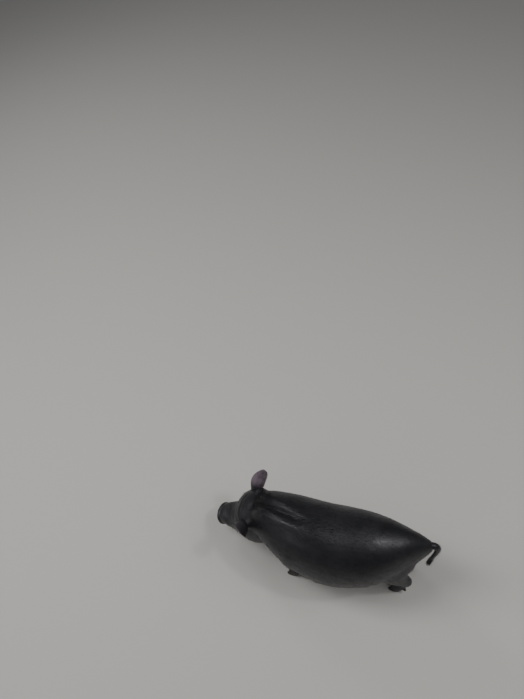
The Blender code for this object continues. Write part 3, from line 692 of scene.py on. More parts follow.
def snout_form(points, normals):
    """The snout's rim, its hollow face, the notch under it and the swell round each nostril."""
    along, beside, over = head_places(points)
    front = step(along / HEAD_LENGTH, 0.955, 0.985) * np.clip(normals @ AHEAD, 0, 1)
    reach = np.hypot(beside / DISC_SIZE[0], over / DISC_SIZE[1])
    lift = front * (0.0007 * bump(reach - 0.88, 0.10) - 0.0010 * bump(reach, 0.55))
    notch = front * 0.0006 * bump(beside, 0.0020)
    lift -= notch * step(-over, 0.002, 0.006) * (1 - step(reach, 0.70, 0.85))
    nostril = np.hypot(np.abs(beside) - NOSTRIL_PLACE[1], over - NOSTRIL_PLACE[2])
    lift += front * 0.0009 * bump(nostril - 0.0070, 0.0017)
    return lift - 0.0007 * bump(along - HEAD_LENGTH + 0.0105, 0.0022) * (reach < 1.3)


# Eyes and lids

EYE_OPENING = (0.0064, 0.0040)
OPENING_SCALE = 1.08
LID_DOME = (0.0110, 0.0096, 0.0098)
LID_EDGE = 0.0009
LID_POINTS = 56
SOCKET_GAP = 0.0002


def eye_axes(side):
    """Unit vectors along the opening of the eye towards its back corner, up across it, and out."""
    out = (LEFT * side * 0.82 + FORWARD * 0.36 + DORSAL * 0.44).normalized()
    back = DORSAL * 0.25 - FORWARD
    back = (back - out * back.dot(out)).normalized()
    return back, back.cross(out) * -side, out


def almond(scale):
    """Points round the opening between the lids: along it and across it."""
    half_long, half_high = EYE_OPENING
    points = []
    for i in range(LID_POINTS):
        angle = 2 * math.pi * i / LID_POINTS
        rise = math.copysign(abs(math.sin(angle)) ** 1.25, math.sin(angle))
        points.append((half_long * scale * math.cos(angle), half_high * scale * rise))
    return points


def lid_edge(side):
    """The rounded edge of the lids, lying on the eyeball."""
    centre = eye_centre(side)
    back, up, out = eye_axes(side)
    reach = eye_radius(side) + LID_EDGE * 0.9
    spots = []
    for s, t in almond(OPENING_SCALE):
        spots.append(centre + back * s + up * t + out * math.sqrt(reach**2 - s * s - t * t))
    rings = []
    for i, spot in enumerate(spots):
        along = (spots[(i + 1) % len(spots)] - spots[i - 1]).normalized()
        outward = (spot - centre).normalized()
        rings.append(oval(spot, along.cross(outward).normalized(), outward, LID_EDGE, LID_EDGE, 12))
    return loft("lid_edge", rings, ring_closes=True)


def eye_opening(side):
    centre = eye_centre(side)
    back, up, out = eye_axes(side)
    rings = []
    for depth in (0.0, 0.030):
        rings.append([centre + back * s + up * t + out * depth for s, t in almond(OPENING_SCALE)])
    return loft("opening", rings)


def eye_places(points, side):
    """Distances from the eye's centre along its opening, up across it and outwards, in metres."""
    from_centre = points - np.array(eye_centre(side))
    return [from_centre @ np.array(axis) for axis in eye_axes(side)]


def swell_lids(skin):
    """Swell the skin over both eyeballs and blend it in."""
    for side in EYES:
        axes = Matrix(eye_axes(side)).transposed()
        combine(skin, ball("dome", eye_centre(side), LID_DOME, axes), "UNION")
    near = close_to(points_of(skin), [eye_centre(side) for side in EYES], 0.014, 0.022)
    relax(skin, 10, near, 0.3)


def crease_lids(skin):
    """The folds over and under each eye."""
    points = points_of(skin)
    lift = np.zeros(len(points))
    for side in EYES:
        back, up, out = eye_places(points, side)
        ring = np.hypot(back / EYE_OPENING[0], up / EYE_OPENING[1])
        near = (out > 0) * (1 - step(np.linalg.norm((back, up, out), axis=0), 0.016, 0.021))
        above = step(up, -0.001, 0.002)
        upper = 0.0007 * bump(ring - 1.85, 0.20) + 0.0004 * bump(ring - 2.5, 0.18)
        lower = 0.0005 * bump(ring - 1.9, 0.22) + 0.0003 * bump(ring - 2.7, 0.2)
        lift -= near * above * upper
        lift += near * above * 0.0004 * bump(ring - 2.2, 0.2)
        lift -= near * (1 - above) * lower
    push(skin, lift)


def open_eyes(skin):
    for side in EYES:
        combine(skin, eye_opening(side), "DIFFERENCE")
        combine(skin, lid_edge(side), "UNION")
        room = (eye_radius(side) + SOCKET_GAP,) * 3
        combine(skin, ball("socket", eye_centre(side), room), "DIFFERENCE")


# Mouth and nostrils

MOUTH_LINE = ((0.49, -0.0225), (0.57, -0.0270), (0.69, -0.0280), (0.82, -0.0235))
MOUTH_HALF_GAP = 0.0008
MOUTH_DEPTH = 0.0040
MOUTH_SPOTS = 25
FRONT_SPOTS = 12
DISC_SIZE = (0.0280, 0.0222)
NOSTRIL_PLACE = (1.0, 0.0104, 0.0015)
NOSTRIL_SIZE = (0.0044, 0.0060, 0.0090)


def surface_of(obj):
    bm = bmesh_of(obj)
    tree = BVHTree.FromBMesh(bm)
    bm.free()
    return tree


def mouth_side(surface, side):
    """Points on the skin with their outward directions, from a corner of the mouth to its middle."""
    line = np.array(MOUTH_LINE)
    places = np.linspace(0, len(line) - 1, MOUTH_SPOTS)
    found = []
    for share, over in smooth_through(np.arange(len(line)), line, places):
        found.append((on_head(share, 0.0, over), LEFT * side))
    front = found[-1][0]
    for i in range(1, FRONT_SPOTS + 1):
        angle = math.radians(90 / FRONT_SPOTS * i)
        found.append((front, LEFT * side * math.cos(angle) + FORWARD * math.sin(angle)))
    return [(surface.ray_cast(core, out)[0], out) for core, out in found]


def mouth_points(skin):
    surface = surface_of(skin)
    return mouth_side(surface, 1) + mouth_side(surface, -1)[-2::-1]


def shape_lips(skin, mouth):
    """Swell the lips along the line of the mouth."""
    points = points_of(skin)
    line = np.array([spot for spot, _ in mouth])
    along, _, over = head_places(points)
    near = (along > 0.070) & (over < 0.0) & (over > -0.05)
    apart = np.linalg.norm(points[near][:, None] - line[None], axis=2).min(axis=1)
    lift = np.zeros(len(points))
    lift[near] = 0.0008 * bump(apart - 0.0030, 0.0020) - 0.0004 * bump(apart, 0.0012)
    push(skin, lift)


def mouth_cutter(mouth):
    rings = []
    for i, (spot, out) in enumerate(mouth):
        to_end = min(i, len(mouth) - 1 - i)
        grown = min(1.0, 0.25 + to_end / 8)
        half = MOUTH_HALF_GAP * grown
        deep = MOUTH_DEPTH * grown
        rise = DORSAL * half
        rings.append([spot + out * 0.004, spot + rise, spot - out * deep, spot - rise])
    return loft("mouth", rings)


def open_nostrils(skin):
    for side in EYES:
        axes = HEAD_AXES @ Matrix.Rotation(math.radians(-14 * side), 3, "Z")
        hole = ball("nostril", on_head(*NOSTRIL_PLACE, side), NOSTRIL_SIZE, axes, 32)
        combine(skin, hole, "DIFFERENCE")


def grow_ears_and_tail(skin):
    """Join ears and tail to the skin and blend their roots. Return the ears' own surfaces."""
    sheets = {}
    for side in EARS:
        ear = make_ear(side)
        sheets[side] = surface_of(ear)
        combine(skin, ear, "UNION")
    combine(skin, make_tail(), "UNION")
    points = points_of(skin)
    near_ears = close_to(points, [on_head(*EAR_BLEND_PLACE, side) for side in EARS], 0.016, 0.026)
    near_tail = close_to(points, [tail_spots()[9][0]], 0.010, 0.016)
    relax(skin, 8, np.maximum(near_ears, near_tail))
    return sheets


def mark(mesh, name, values):
    """Keep one number for each point of the mesh, for its material."""
    attribute = mesh.attributes.new(name, "FLOAT", "POINT")
    attribute.data.foreach_set("value", values.astype(np.float32))


def ear_share(points, sheets):
    """How much each point belongs to the free part of an ear, right and left ears apart."""
    shares = {}
    for side, sheet in sheets.items():
        along, _, _ = ear_axes(side)
        reach = (points - np.array(on_head(*EAR_PLACE, side))) @ np.array(along)
        share = np.zeros(len(points))
        for i in np.nonzero((reach > 0.0) & (reach < EAR_LENGTH + 0.02))[0]:
            found = sheet.find_nearest(Vector(points[i]), 0.004)
            if found[0] is not None:
                share[i] = 1.0 - step(found[3], 0.0012, 0.0035)
        shares[side] = share * step(reach, 0.004, 0.028)
    return shares


def ear_paleness_and_glow(skin, side):
    """How pale one ear's skin is at each point, inside its cup and on its back. On the right ear's
    back the paleness is painted light shining through the ear.
    """
    _, _, front = ear_axes(side)
    within = step(normals_of(skin) @ np.array(front), -0.25, 0.25)
    inside, outside = EAR_PALENESS_AND_GLOW[side]
    return inside * within + outside * (1 - within)


def make_skin():
    """The whole skin, with how much each of its points belongs to an ear."""
    skin = base_skin()
    for near, rounds in ((near_fine_parts, 4), (near_details, 3)):
        refine(skin, near)
        points = points_of(skin)
        relax(skin, rounds, near(points) * 1.0)
    rim = step(head_places(points)[0], 0.945 * HEAD_LENGTH, 0.975 * HEAD_LENGTH)
    relax(skin, 8, rim)
    round_snout(skin)
    sculpt(skin)
    relax(skin, 4, rim)
    sheets = grow_ears_and_tail(skin)
    swell_lids(skin)
    crease_lids(skin)
    mouth = mouth_points(skin)
    shape_lips(skin, mouth)
    combine(skin, mouth_cutter(mouth), "DIFFERENCE")
    open_nostrils(skin)
    open_eyes(skin)
    keep_largest(skin)
    points = points_of(skin)
    ears = ear_share(points, sheets)
    # The ear mark holds the cups' own paleness and the painted light shining through the right ear's
    # back.
    mark(skin.data, "ear", sum(ears[side] * ear_paleness_and_glow(skin, side) for side in EARS))
    mark(skin.data, "snout", snout_share(points))
    skin.data.shade_smooth()
    skin.data.set_sharp_from_angle(angle=math.radians(SHARP_ANGLE))
    skin.name = "skin"
    return skin, np.maximum(ears[1], ears[-1])


def snout_share(points):
    """1 on the bare, moist face of the snout, 0 elsewhere."""
    along, _, _ = head_places(points)
    return step(along, HEAD_LENGTH - 0.0080, HEAD_LENGTH - 0.0055)


# Materials

SKIN_DARK = (0.0040, 0.0042, 0.0058)
SKIN_GREY = (0.0165, 0.0160, 0.0185)
SNOUT_GREY = (0.013, 0.0115, 0.0125)
EAR_DARK = (0.080, 0.059, 0.073)
# The pink is partly the cups' own colour and partly painted light shining through the right ear's
# back.
EAR_PINK = (0.205, 0.158, 0.192)
DUST = (0.036, 0.031, 0.026)
PUPIL = (0.0015, 0.0015, 0.002)
FLOOR_GREY = (0.55, 0.53, 0.50)
EYE_BALL_RADIUS = 0.0085


def put(socket, value):
    """Set a shader input, or link it where the value is another node's output."""
    if isinstance(value, bpy.types.NodeSocket):
        socket.id_data.links.new(value, socket)
    elif socket.type == "RGBA":
        socket.default_value = (*value, 1.0)
    else:
        socket.default_value = value


def add(tree, kind, inputs, output=0, **settings):
    """One output of a new shader node with these inputs and settings."""
    node = tree.nodes.new("ShaderNode" + kind)
    for key, value in settings.items():
        setattr(node, key, value)
    for key, value in inputs.items():
        put(node.inputs[key], value)
    return node.outputs[output]


def new_material(name, describe):
    """A material whose own shader gets the inputs that describe() gives, by name."""
    material = bpy.data.materials.new(name)
    material.use_nodes = True
    tree = material.node_tree
    shader = tree.nodes["Principled BSDF"]
    for key, value in describe(tree, add(tree, "TexCoord", {}, "Object")).items():
        put(shader.inputs[key], value)
    return material


def ramp(tree, factor, stops):
    """A colour ramp through the stops, given in rising order."""
    output = add(tree, "ValToRGB", {"Fac": factor}, "Color")
    elements = output.node.color_ramp.elements
    elements.remove(elements[1])
    elements[0].position = stops[0][0]
    elements[0].color = (*stops[0][1], 1.0)
    for place, colour in stops[1:]:
        elements.new(place).color = (*colour, 1.0)
    return output


def spread(tree, place, scale, detail, rough=0.55):
    """Noise over the surface in its own coordinates."""
    inputs = {"Vector": place, "Scale": scale, "Detail": detail, "Roughness": rough}
    return add(tree, "TexNoise", inputs, "Fac")


def mixed(tree, factor, a, b):
    first = add(tree, "Mix", {"Factor": factor, "A": a, "B": b}, data_type="RGBA")
    return next(output for output in first.node.outputs if output.type == "RGBA")


def coat_colour(tree, place):
    """Black hide, greyer in patches and dusty near the ground. Skin and coat share it."""
    patches = ramp(tree, spread(tree, place, 14.0, 5.0), ((0.38, SKIN_DARK), (0.72, SKIN_GREY)))
    height = add(tree, "SeparateXYZ", {"Vector": place}, "Z")
    low = add(tree, "MapRange", {"Value": height, "From Min": 0.085, "From Max": 0.0})
    grime = add(tree, "Math", {0: low, 1: spread(tree, place, 45.0, 6.0)}, operation="MULTIPLY")
    return mixed(tree, grime, patches, DUST)


def skin_look(tree, place):
    """Satin black hide with fine creases, pinkish ears with painted light shining through the right
    ear's back, and a moist snout.
    """
    ear = add(tree, "Attribute", {}, "Fac", attribute_name="ear")
    snout = add(tree, "Attribute", {}, "Fac", attribute_name="snout")
    blotch = ramp(tree, spread(tree, place, 60.0, 5.0), ((0.30, EAR_DARK), (0.62, EAR_PINK)))
    hide = mixed(tree, ear, coat_colour(tree, place), blotch)
    gloss = {"Value": spread(tree, place, 30.0, 6.0, 0.65), "From Min": 0.3, "From Max": 0.7}
    gloss = add(tree, "MapRange", {**gloss, "To Min": 0.38, "To Max": 0.54})
    crease = {"Vector": place, "Scale": 420.0}
    crease = add(tree, "TexVoronoi", crease, "Distance", feature="DISTANCE_TO_EDGE")
    fine = add(tree, "Bump", {"Strength": 0.30, "Distance": 0.0005, "Height": crease})
    lie = add(tree, "Mapping", {"Scale": (900.0, 110.0, 420.0), "Vector": place})
    hairs = add(tree, "TexNoise", {"Scale": 1.0, "Detail": 3.0, "Vector": lie}, "Fac")
    coat = {"Strength": 0.15, "Distance": 0.0005, "Height": hairs, "Normal": fine}
    return {
        "Base Color": mixed(tree, snout, hide, SNOUT_GREY),
        "Roughness": add(tree, "Math", {0: snout, 1: -0.14, 2: gloss}, operation="MULTIPLY_ADD"),
        "Sheen Weight": 0.02,
        "Sheen Roughness": 0.40,
        "Sheen Tint": (0.80, 0.80, 0.95),
        "Specular IOR Level": 0.48,
        "Specular Tint": (0.96, 0.94, 1.0),
        "Coat Weight": 0.12,
        "Coat Roughness": 0.22,
        "Normal": add(tree, "Bump", coat),
    }


def bristle_look(tree, place):
    """Black bristle in the hide's own colours."""
    colour = coat_colour(tree, place)
    return {"Base Color": colour, "Roughness": 0.46, "Specular IOR Level": 0.5}


def eye_look(tree, place):
    """A dark brown iris round a wide pupil, under a wet surface. Its middle looks along +Z."""
    split = add(tree, "SeparateXYZ", {"Vector": place}).node.outputs
    flat = add(tree, "CombineXYZ", {"X": split["X"], "Y": split["Y"]})
    reach = add(tree, "VectorMath", {0: flat}, "Value", operation="LENGTH")
    share = add(tree, "Math", {0: reach, 1: 1 / EYE_BALL_RADIUS}, operation="MULTIPLY")
    rings = ramp(tree, share, (
        (0.00, PUPIL), (0.29, PUPIL), (0.34, (0.016, 0.0075, 0.0035)),
        (0.52, (0.024, 0.0115, 0.0050)), (0.66, (0.005, 0.003, 0.002)),
        (0.72, (0.030, 0.019, 0.016)), (0.95, (0.120, 0.082, 0.070)),
    ))
    return {
        "Base Color": rings, "Roughness": 0.08, "Specular IOR Level": 0.20,
        "Coat Weight": 0.15, "Coat Roughness": 0.03,
    }


def horn_look(tree, place):
    """Dark worn horn with growth rings and paler scuffs in random patches."""
    tones = (
        (0.35, (0.010, 0.009, 0.009)), (0.62, (0.034, 0.028, 0.024)), (0.85, (0.09, 0.074, 0.060)),
    )
    rings = {"Vector": place, "Scale": 190.0, "Distortion": 2.5, "Detail": 3.0}
    rings = add(tree, "TexWave", rings, "Fac", bands_direction="Z")
    return {
        "Base Color": ramp(tree, spread(tree, place, 160.0, 6.0, 0.7), tones),
        "Roughness": 0.52,
        "Normal": add(tree, "Bump", {"Strength": 0.15, "Distance": 0.0003, "Height": rings}),
    }


def dress(obj, material, slot, *nodes):
    """Give the piece its material, let it ride on the body, and let it stand for its nodes."""
    obj.data.materials.clear()
    obj.data.materials.append(material)
    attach(obj, "root")
    if nodes:
        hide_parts(*nodes)
    return obj


# The domed middle of the eye, and the horn's growth rings, flat sole and voxels
CORNEA_SHARE = 0.62
CORNEA_RISE = 0.00035
RING_HEIGHT = 0.00005
RING_STEP = 0.0026
SOLE_DEPTH = 0.0005
HOOF_VOXEL = 0.0007
CLAW_VOXEL = 0.0006


def make_eye(side, material):
    """An eyeball with a domed cornea, its own +Z looking out between the lids."""
    radius = eye_radius(side)
    bm = bmesh.new()
    bmesh.ops.create_uvsphere(bm, u_segments=48, v_segments=32, radius=radius)
    for vert in bm.verts:
        reach = math.hypot(vert.co.x, vert.co.y) / radius
        if vert.co.z > 0 and reach < CORNEA_SHARE:
            vert.co.z += CORNEA_RISE * (1 - (reach / CORNEA_SHARE) ** 2)
    eye = object_from(EYES[side] + "_ball", bm)
    eye.data.shade_smooth()
    back, _, out = eye_axes(side)
    turn = Matrix((back, out.cross(back), out)).transposed()
    eye.matrix_world = Matrix.Translation(eye_centre(side)) @ turn.to_4x4()
    return dress(eye, material, "eye", EYES[side])


def make_horn(name, voxel, material):
    """A hoof or claw with worn, rounded edges and a flat sole."""
    piece = remesh(copy_node(name), voxel)
    keep_largest(piece)
    relax(piece, 3, shrink=0.15)
    points = points_of(piece)
    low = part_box(name)[0].z
    turn = 2 * np.pi * (points[:, 2] + 0.15 * points[:, 1]) / RING_STEP
    ridge = RING_HEIGHT * np.cos(turn) * step(points[:, 2], low + 0.001, low + 0.003)
    points += normals_of(piece) * ridge[:, None]
    points[:, 2] = np.where(points[:, 2] < low + SOLE_DEPTH, low, points[:, 2])
    set_points(piece, points)
    piece.data.shade_smooth()
    piece.name = name + "_horn"
    return dress(piece, material, "horn", name)


def make_feet(material):
    for leg in LEGS:
        for toe in TOES:
            make_horn(f"hoof_{leg}_{toe}", HOOF_VOXEL, material)
            make_horn(f"dewclaw_{leg}_{toe}", CLAW_VOXEL, material)


# Bristles

# A coat piece: how many bristles, their length, half width and lean, where they grow, their unwrap
Coat = namedtuple("Coat", "name count length width lean wanted unwrap")
BLADE_SIDES = 3
ROOT_DEPTH = 0.0005
PATCH = 0.003


def skin_triangles(skin):
    skin.data.calc_loop_triangles()
    faces = read(skin.data.loop_triangles, "vertices", 3, np.int32)
    return points_of(skin), normals_of(skin), faces


def scatter(points, normals, faces, density, count, rng):
    """Random places on the skin with their normals, more of them where density is high."""
    corners = points[faces]
    first, second = corners[:, 1] - corners[:, 0], corners[:, 2] - corners[:, 0]
    area = np.linalg.norm(np.cross(first, second), axis=1)
    chance = area * density[faces].mean(axis=1)
    chosen = rng.choice(len(faces), count, p=chance / chance.sum())
    share = rng.random((count, 2))
    share = np.where(share.sum(axis=1, keepdims=True) > 1, 1 - share, share)
    weights = np.column_stack([1 - share.sum(axis=1), share])[:, :, None]
    roots = (corners[chosen] * weights).sum(axis=1)
    upright = (normals[faces[chosen]] * weights).sum(axis=1)
    return roots, unit(upright)


def unit(vectors):
    return vectors / np.maximum(np.linalg.norm(vectors, axis=1, keepdims=True), 1e-12)


def lie_of(points):
    """The way the coat lies: back along the body and the head, and down the legs."""
    along, beside, _ = head_places(points)
    on_face = step(along, 0.0, 0.03)[:, None]
    on_leg = (1 - step(points[:, 2], 0.075, 0.115))[:, None]
    aside = off_midline(points)[:, None] / 0.09
    body = np.array((0.0, 1.0, -0.35)) * (1 - on_leg) + np.array((0.0, 0.25, -1.0)) * on_leg
    body = body + np.array((0.0, 0.0, -0.6)) * np.abs(aside) + np.array((0.35, 0.0, 0.0)) * aside
    face = np.array(DORSAL * 0.25 - FORWARD) + ASIDE * (beside / 0.06)[:, None] * 0.5
    swirl = 0.18 * np.array([noise.noise_vector(Vector(p) * 22.0) for p in points])
    return body * (1 - on_face) + face * on_face + swirl


def on_unwrap(share, across, up, low, high):
    """A cell of the unwrap: share along it from left to right, turn round it from bottom to top."""
    share = np.clip(share, 0, 1)
    turn = np.arctan2(across, up) / (2 * np.pi) + 0.5
    return np.column_stack([low[0] + (high[0] - low[0]) * share, low[1] + (high[1] - low[1]) * turn])


def unwrap_trunk(points):
    """The trunk's skin unrolled from round the body, from snout to tail."""
    low, high = cad_box[0][1], cad_box[1][1]
    share = (points[:, 1] - low) / (high - low)
    return on_unwrap(share, off_midline(points), points[:, 2] - 0.150, (0.01, 0.30), (0.66, 0.99))


def unwrap_head(points):
    along, beside, over = head_places(points)
    return on_unwrap(along / HEAD_LENGTH * 0.9 + 0.1, beside, over, (0.68, 0.30), (0.99, 0.99))


def unwrap_legs(points):
    """Each leg's skin unrolled beside the others."""
    places = np.zeros((len(points), 2))
    for i, leg in enumerate(LEGS):
        aside, back, _ = (points - np.array(foot_middle(leg))).T
        cell = on_unwrap(points[:, 2] / 0.13, aside, back,
                         (0.01 + 0.14 * i, 0.01), (0.14 + 0.14 * i, 0.28))
        places = np.where((np.hypot(aside, back) < 0.060)[:, None], cell, places)
    return places


def unwrap_ears(points):
    """Each ear's skin unrolled round its own length."""
    places = np.zeros((len(points), 2))
    for i, side in enumerate(EARS):
        root = on_head(*EAR_PLACE, side)
        along, across, front = ((points - np.array(root)) @ np.array(axis) for axis in ear_axes(side))
        cell = on_unwrap(along / EAR_LENGTH, across, front - 0.006,
                         (0.57 + 0.14 * i, 0.01), (0.70 + 0.14 * i, 0.28))
        places = np.where((apart_from(points, root) < 0.085)[:, None], cell, places)
    return places


def unwrap_tail(points):
    low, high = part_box("tail")
    aside, back, _ = (points - np.array(middle_of("tail"))).T
    share = (high.z - points[:, 2]) / (high.z - low.z)
    return on_unwrap(share, aside, back, (0.86, 0.01), (0.98, 0.28))


def blades(coat, roots, upright, ahead, rng, longer=1.0):
    """Tapered, bent bristles as one mesh, each a closed three-sided blade."""
    count = len(roots)
    ahead = unit(ahead + rng.normal(0, 0.14, (count, 3)))
    flat = unit(ahead - upright * (ahead * upright).sum(axis=1, keepdims=True))
    beside = np.cross(upright, flat)
    length = coat.length * longer * rng.uniform(0.6, 1.25, (count, 1))
    first = unit(flat * np.cos(coat.lean) + upright * np.sin(coat.lean))
    second = unit(flat * np.cos(coat.lean * 0.4) + upright * np.sin(coat.lean * 0.4))
    levels = (
        (roots - upright * ROOT_DEPTH, 1.0),
        (roots + first * length * 0.5, 0.75),
        (roots + first * length * 0.5 + second * length * 0.5, 0.12),
    )
    width = coat.width * rng.uniform(0.8, 1.2, (count, 1))
    rings = []
    for place, share in levels:
        for k in range(BLADE_SIDES):
            angle = 2 * math.pi * k / BLADE_SIDES + math.pi / 2
            out = beside * math.cos(angle) + np.cross(first, beside) * math.sin(angle) * 0.7
            rings.append(place + out * width * share)
    points = np.stack(rings, axis=1)
    rows = np.repeat(np.arange(3), BLADE_SIDES) / 2 - 0.5
    columns = np.tile(np.arange(BLADE_SIDES), 3) / (BLADE_SIDES - 1) - 0.5
    uvs = coat.unwrap(roots)[:, None, :] + PATCH * np.column_stack([columns, rows])[None]
    return mesh_of_blades(coat.name, points, uvs)


def mesh_of_blades(name, points, uvs):
    """One mesh of all the blades, with a UV map for each one's patch."""
    pattern = [(2, 1, 0), (6, 7, 8)]
    for row in (0, BLADE_SIDES):
        for k in range(BLADE_SIDES):
            j = (k + 1) % BLADE_SIDES
            pattern += [(row + k, row + j, row + j + 3), (row + k, row + j + 3, row + k + 3)]
    count, per = points.shape[:2]
    faces = (np.array(pattern)[None] + np.arange(count)[:, None, None] * per).reshape(-1, 3)
    mesh = bpy.data.meshes.new(name)
    mesh.from_pydata(points.reshape(-1, 3).tolist(), [], faces.tolist())
    layer = mesh.uv_layers.new(name="OFBake")
    layer.data.foreach_set("uv", uvs.reshape(-1, 2)[faces.reshape(-1)].reshape(-1).astype(np.float32))
    mesh.shade_smooth()
    return new_object(name, mesh)


def trunk_density(points):
    """How thick the bristles grow on the trunk, with none on face and feet."""
    along, _, _ = head_places(points)
    return (1 - step(along, 0.0, 0.03)) * step(points[:, 2], 0.070, 0.090)


def crest_share(points):
    """1 along the nape and the spine, 0 down the flanks."""
    return bump(off_midline(points), 0.034) * step(points[:, 2], 0.14, 0.20) * trunk_density(points)


def nape_share(points):
    """1 on the nape, falling towards the rump."""
    return crest_share(points) * (0.12 + 0.88 * step(SHIFT.y - points[:, 1], 0.16, 0.36))


def face_density(points):
    """How thick the bristles grow on the face, thinner on the snout and none round the eyes."""
    along, _, _ = head_places(points)
    share = along / HEAD_LENGTH
    clear = np.ones(len(points))
    for side in EYES:
        clear *= step(apart_from(points, eye_centre(side)), 0.0105, 0.013)
    return step(along, -0.005, 0.02) * (1 - 0.8 * step(share, 0.60, 0.85)) * (share < 0.945) * clear


def leg_density(points):
    along, _, _ = head_places(points)
    low = between(points[:, 2], 0.020, 0.028, 0.080, 0.100)
    return low * ~(near_head(points) & (along > 0.030))


def whisker_density(points):
    """Round the chin, the lips and the cheeks."""
    along, _, over = head_places(points)
    share = along / HEAD_LENGTH
    low = between(share, 0.50, 0.62, 0.88, 0.93) * step(-over, 0.004, 0.016)
    return low + 0.25 * bump(share - 0.36, 0.05) * bump(over + 0.02, 0.012)


def make_coat(skin, on_ear, material):
    """Sparse bristles over the whole pig, longest on the nape and shortest on the face and feet."""
    rng = np.random.default_rng(SEED)
    points, normals, faces = skin_triangles(skin)
    trunk, nape, face = (f(points) * (1 - on_ear) for f in (trunk_density, nape_share, face_density))
    coats = (
        Coat("bristles_flank", 13500, 0.0080, 0.00013, 0.12, trunk, unwrap_trunk),
        Coat("bristles_crest", 5200, 0.0105, 0.00011, 0.22, nape, unwrap_trunk),
        Coat("bristles_face", 7500, 0.0042, 0.00011, 0.24, face, unwrap_head),
        Coat("bristles_legs", 4500, 0.0050, 0.00013, 0.22, leg_density(points), unwrap_legs),
        Coat("bristles_ears", 2000, 0.0042, 0.00010, 0.38, on_ear, unwrap_ears),
        Coat("whiskers", 110, 0.0110, 0.00016, 0.80, whisker_density(points), unwrap_head),
    )
    for coat in coats:
        roots, upright = scatter(points, normals, faces, coat.wanted, coat.count, rng)
        longer = 1.0
        if coat.name == "bristles_crest":
            longer = 0.8 + 0.75 * nape_share(roots)[:, None]
        dress(blades(coat, roots, upright, lie_of(roots), rng, longer), material, "skin")


LASHES = 26


def make_lashes(material):
    """Sparse, curved lashes along the upper lids."""
    rng = np.random.default_rng(SEED + 2)
    coat = Coat("lashes", None, 0.0095, 0.00014, 0.95, None, unwrap_head)
    roots, outward, ahead = [], [], []
    for side in EYES:
        centre = eye_centre(side)
        back, up, out = eye_axes(side)
        for angle in np.linspace(math.radians(25), math.radians(155), LASHES):
            along = EYE_OPENING[0] * 1.10 * math.cos(angle)
            over = EYE_OPENING[1] * 1.16 * math.sin(angle) ** 1.25
            reach = math.sqrt((eye_radius(side) + 0.0016) ** 2 - along**2 - over**2)
            roots.append(centre + back * along + up * over + out * reach)
            outward.append(out)
            ahead.append(up * 0.9 + back * (0.25 + 0.5 * math.cos(angle)))
    roots, outward, ahead = map(np.array, (roots, outward, ahead))
    dress(blades(coat, roots, outward, ahead, rng), material, "skin")


TUFT_START = 42


def make_tuft(material):
    """The tail's tuft: long bristles that hang from its lower part."""
    rng = np.random.default_rng(SEED + 1)
    coat = Coat("tail_tuft", 700, 0.0200, 0.00020, 0.20, None, unwrap_tail)
    spots = tail_spots()[TUFT_START:]
    chosen = rng.integers(0, len(spots), coat.count)
    centres = np.array([spots[i][0] for i in chosen])
    radii = np.array([spots[i][1] for i in chosen])[:, None]
    angle = rng.uniform(0, 2 * np.pi, coat.count)
    outward = np.column_stack([np.cos(angle), np.sin(angle), np.zeros(coat.count)])
    down = np.array((0.0, 0.0, -1.0))
    dress(blades(coat, centres + outward * radii * 0.8, outward, down, rng), material, "skin")


# Stage, lights and camera

FLOOR_HALF_WIDTH = 4.0
WORLD_TINT = (0.93, 0.96, 1.0)
WORLD_STRENGTH = 0.17
AIM = Vector((0, 0, 0.15))
# Each light's place, its width and length, and its power
LIGHTS = {
    "strip": ((-0.05, -1.25, 2.1), (0.60, 1.5), 22.0),
    "rear": ((0.10, 1.45, 2.2), (1.4, 1.3), 15.0),
    "spot": ((0.03, 1.07, 2.1), (0.16, 0.16), 6.0),
    "side": ((-1.9, -1.8, 2.0), (0.60, 1.0), 9.0),
    "front": ((0.45, -2.7, 1.8), (1.0, 1.3), 7.0),
    "fill": ((1.6, -1.2, 1.3), (0.7, 0.7), 2.0),
}


def floor_look(*_):
    return {"Base Color": FLOOR_GREY, "Roughness": 0.85}


def make_floor():
    bm = bmesh.new()
    bmesh.ops.create_grid(bm, x_segments=1, y_segments=1, size=FLOOR_HALF_WIDTH)
    floor = object_from("floor", bm)
    floor.data.materials.append(new_material("floor", floor_look))


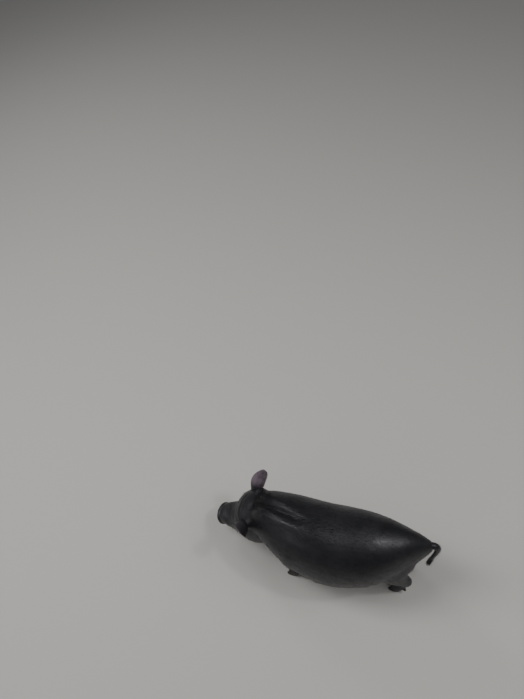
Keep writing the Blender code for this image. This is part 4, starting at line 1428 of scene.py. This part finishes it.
def light_studio():
    """Soft rectangular lights, all aimed at the pig, in a faintly lit room."""
    world = bpy.data.worlds.new("studio")
    world.use_nodes = True
    back = world.node_tree.nodes["Background"]
    put(back.inputs["Color"], WORLD_TINT)
    put(back.inputs["Strength"], WORLD_STRENGTH)
    bpy.context.scene.world = world
    for name, (place, size, power) in LIGHTS.items():
        lamp = bpy.data.lights.new(name, "AREA")
        lamp.shape = "RECTANGLE"
        lamp.size, lamp.size_y = size
        lamp.energy = power
        obj = new_object(name, lamp)
        obj.location = place
        obj.rotation_euler = (AIM - Vector(place)).to_track_quat("-Z", "Y").to_euler()


def rump_tip():
    points = points_of(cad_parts["torso"])
    return Vector(points[np.argmax(points[:, 1])])


def make_camera():
    """The photograph's camera, placed so that the rump's tip falls on its pixel."""
    azimuth, dip, roll = (math.radians(v) for v in (CAMERA_AZIMUTH, CAMERA_DIP, CAMERA_ROLL))
    level = Vector((math.cos(azimuth), math.sin(azimuth), 0.0))
    flat = math.cos(dip)
    ahead = Vector((-math.sin(azimuth) * flat, math.cos(azimuth) * flat, -math.sin(dip)))
    raised = level.cross(ahead)
    right = level * math.cos(roll) + raised * math.sin(roll)
    up = right.cross(ahead)
    across = (RUMP_PIXEL[0] - IMAGE_WIDTH / 2) / FOCAL_PIXELS
    down = (RUMP_PIXEL[1] - IMAGE_HEIGHT / 2) / FOCAL_PIXELS
    ray = ahead + right * across - up * down
    tip = rump_tip()
    place = tip + ray * ((CAMERA_HEIGHT - tip.z) / ray.z)
    lens = bpy.data.cameras.new("camera")
    lens.sensor_width = SENSOR
    lens.lens = FOCAL_PIXELS / IMAGE_HEIGHT * SENSOR
    camera = new_object("camera", lens)
    camera.matrix_world = Matrix.Translation(place) @ Matrix((right, up, -ahead)).transposed().to_4x4()
    bpy.context.scene.camera = camera


def main():
    skin, on_ear = make_skin()
    hide = new_material("skin", skin_look)
    bristle = new_material("bristle", bristle_look)
    make_coat(skin, on_ear, bristle)
    make_lashes(bristle)
    make_tuft(bristle)
    dress(skin, hide, "skin", *FLESH, "tail", *EARS.values())
    wet = new_material("eye", eye_look)
    for side in EYES:
        make_eye(side, wet)
    make_feet(new_material("horn", horn_look))
    make_floor()
    light_studio()
    make_camera()


main()
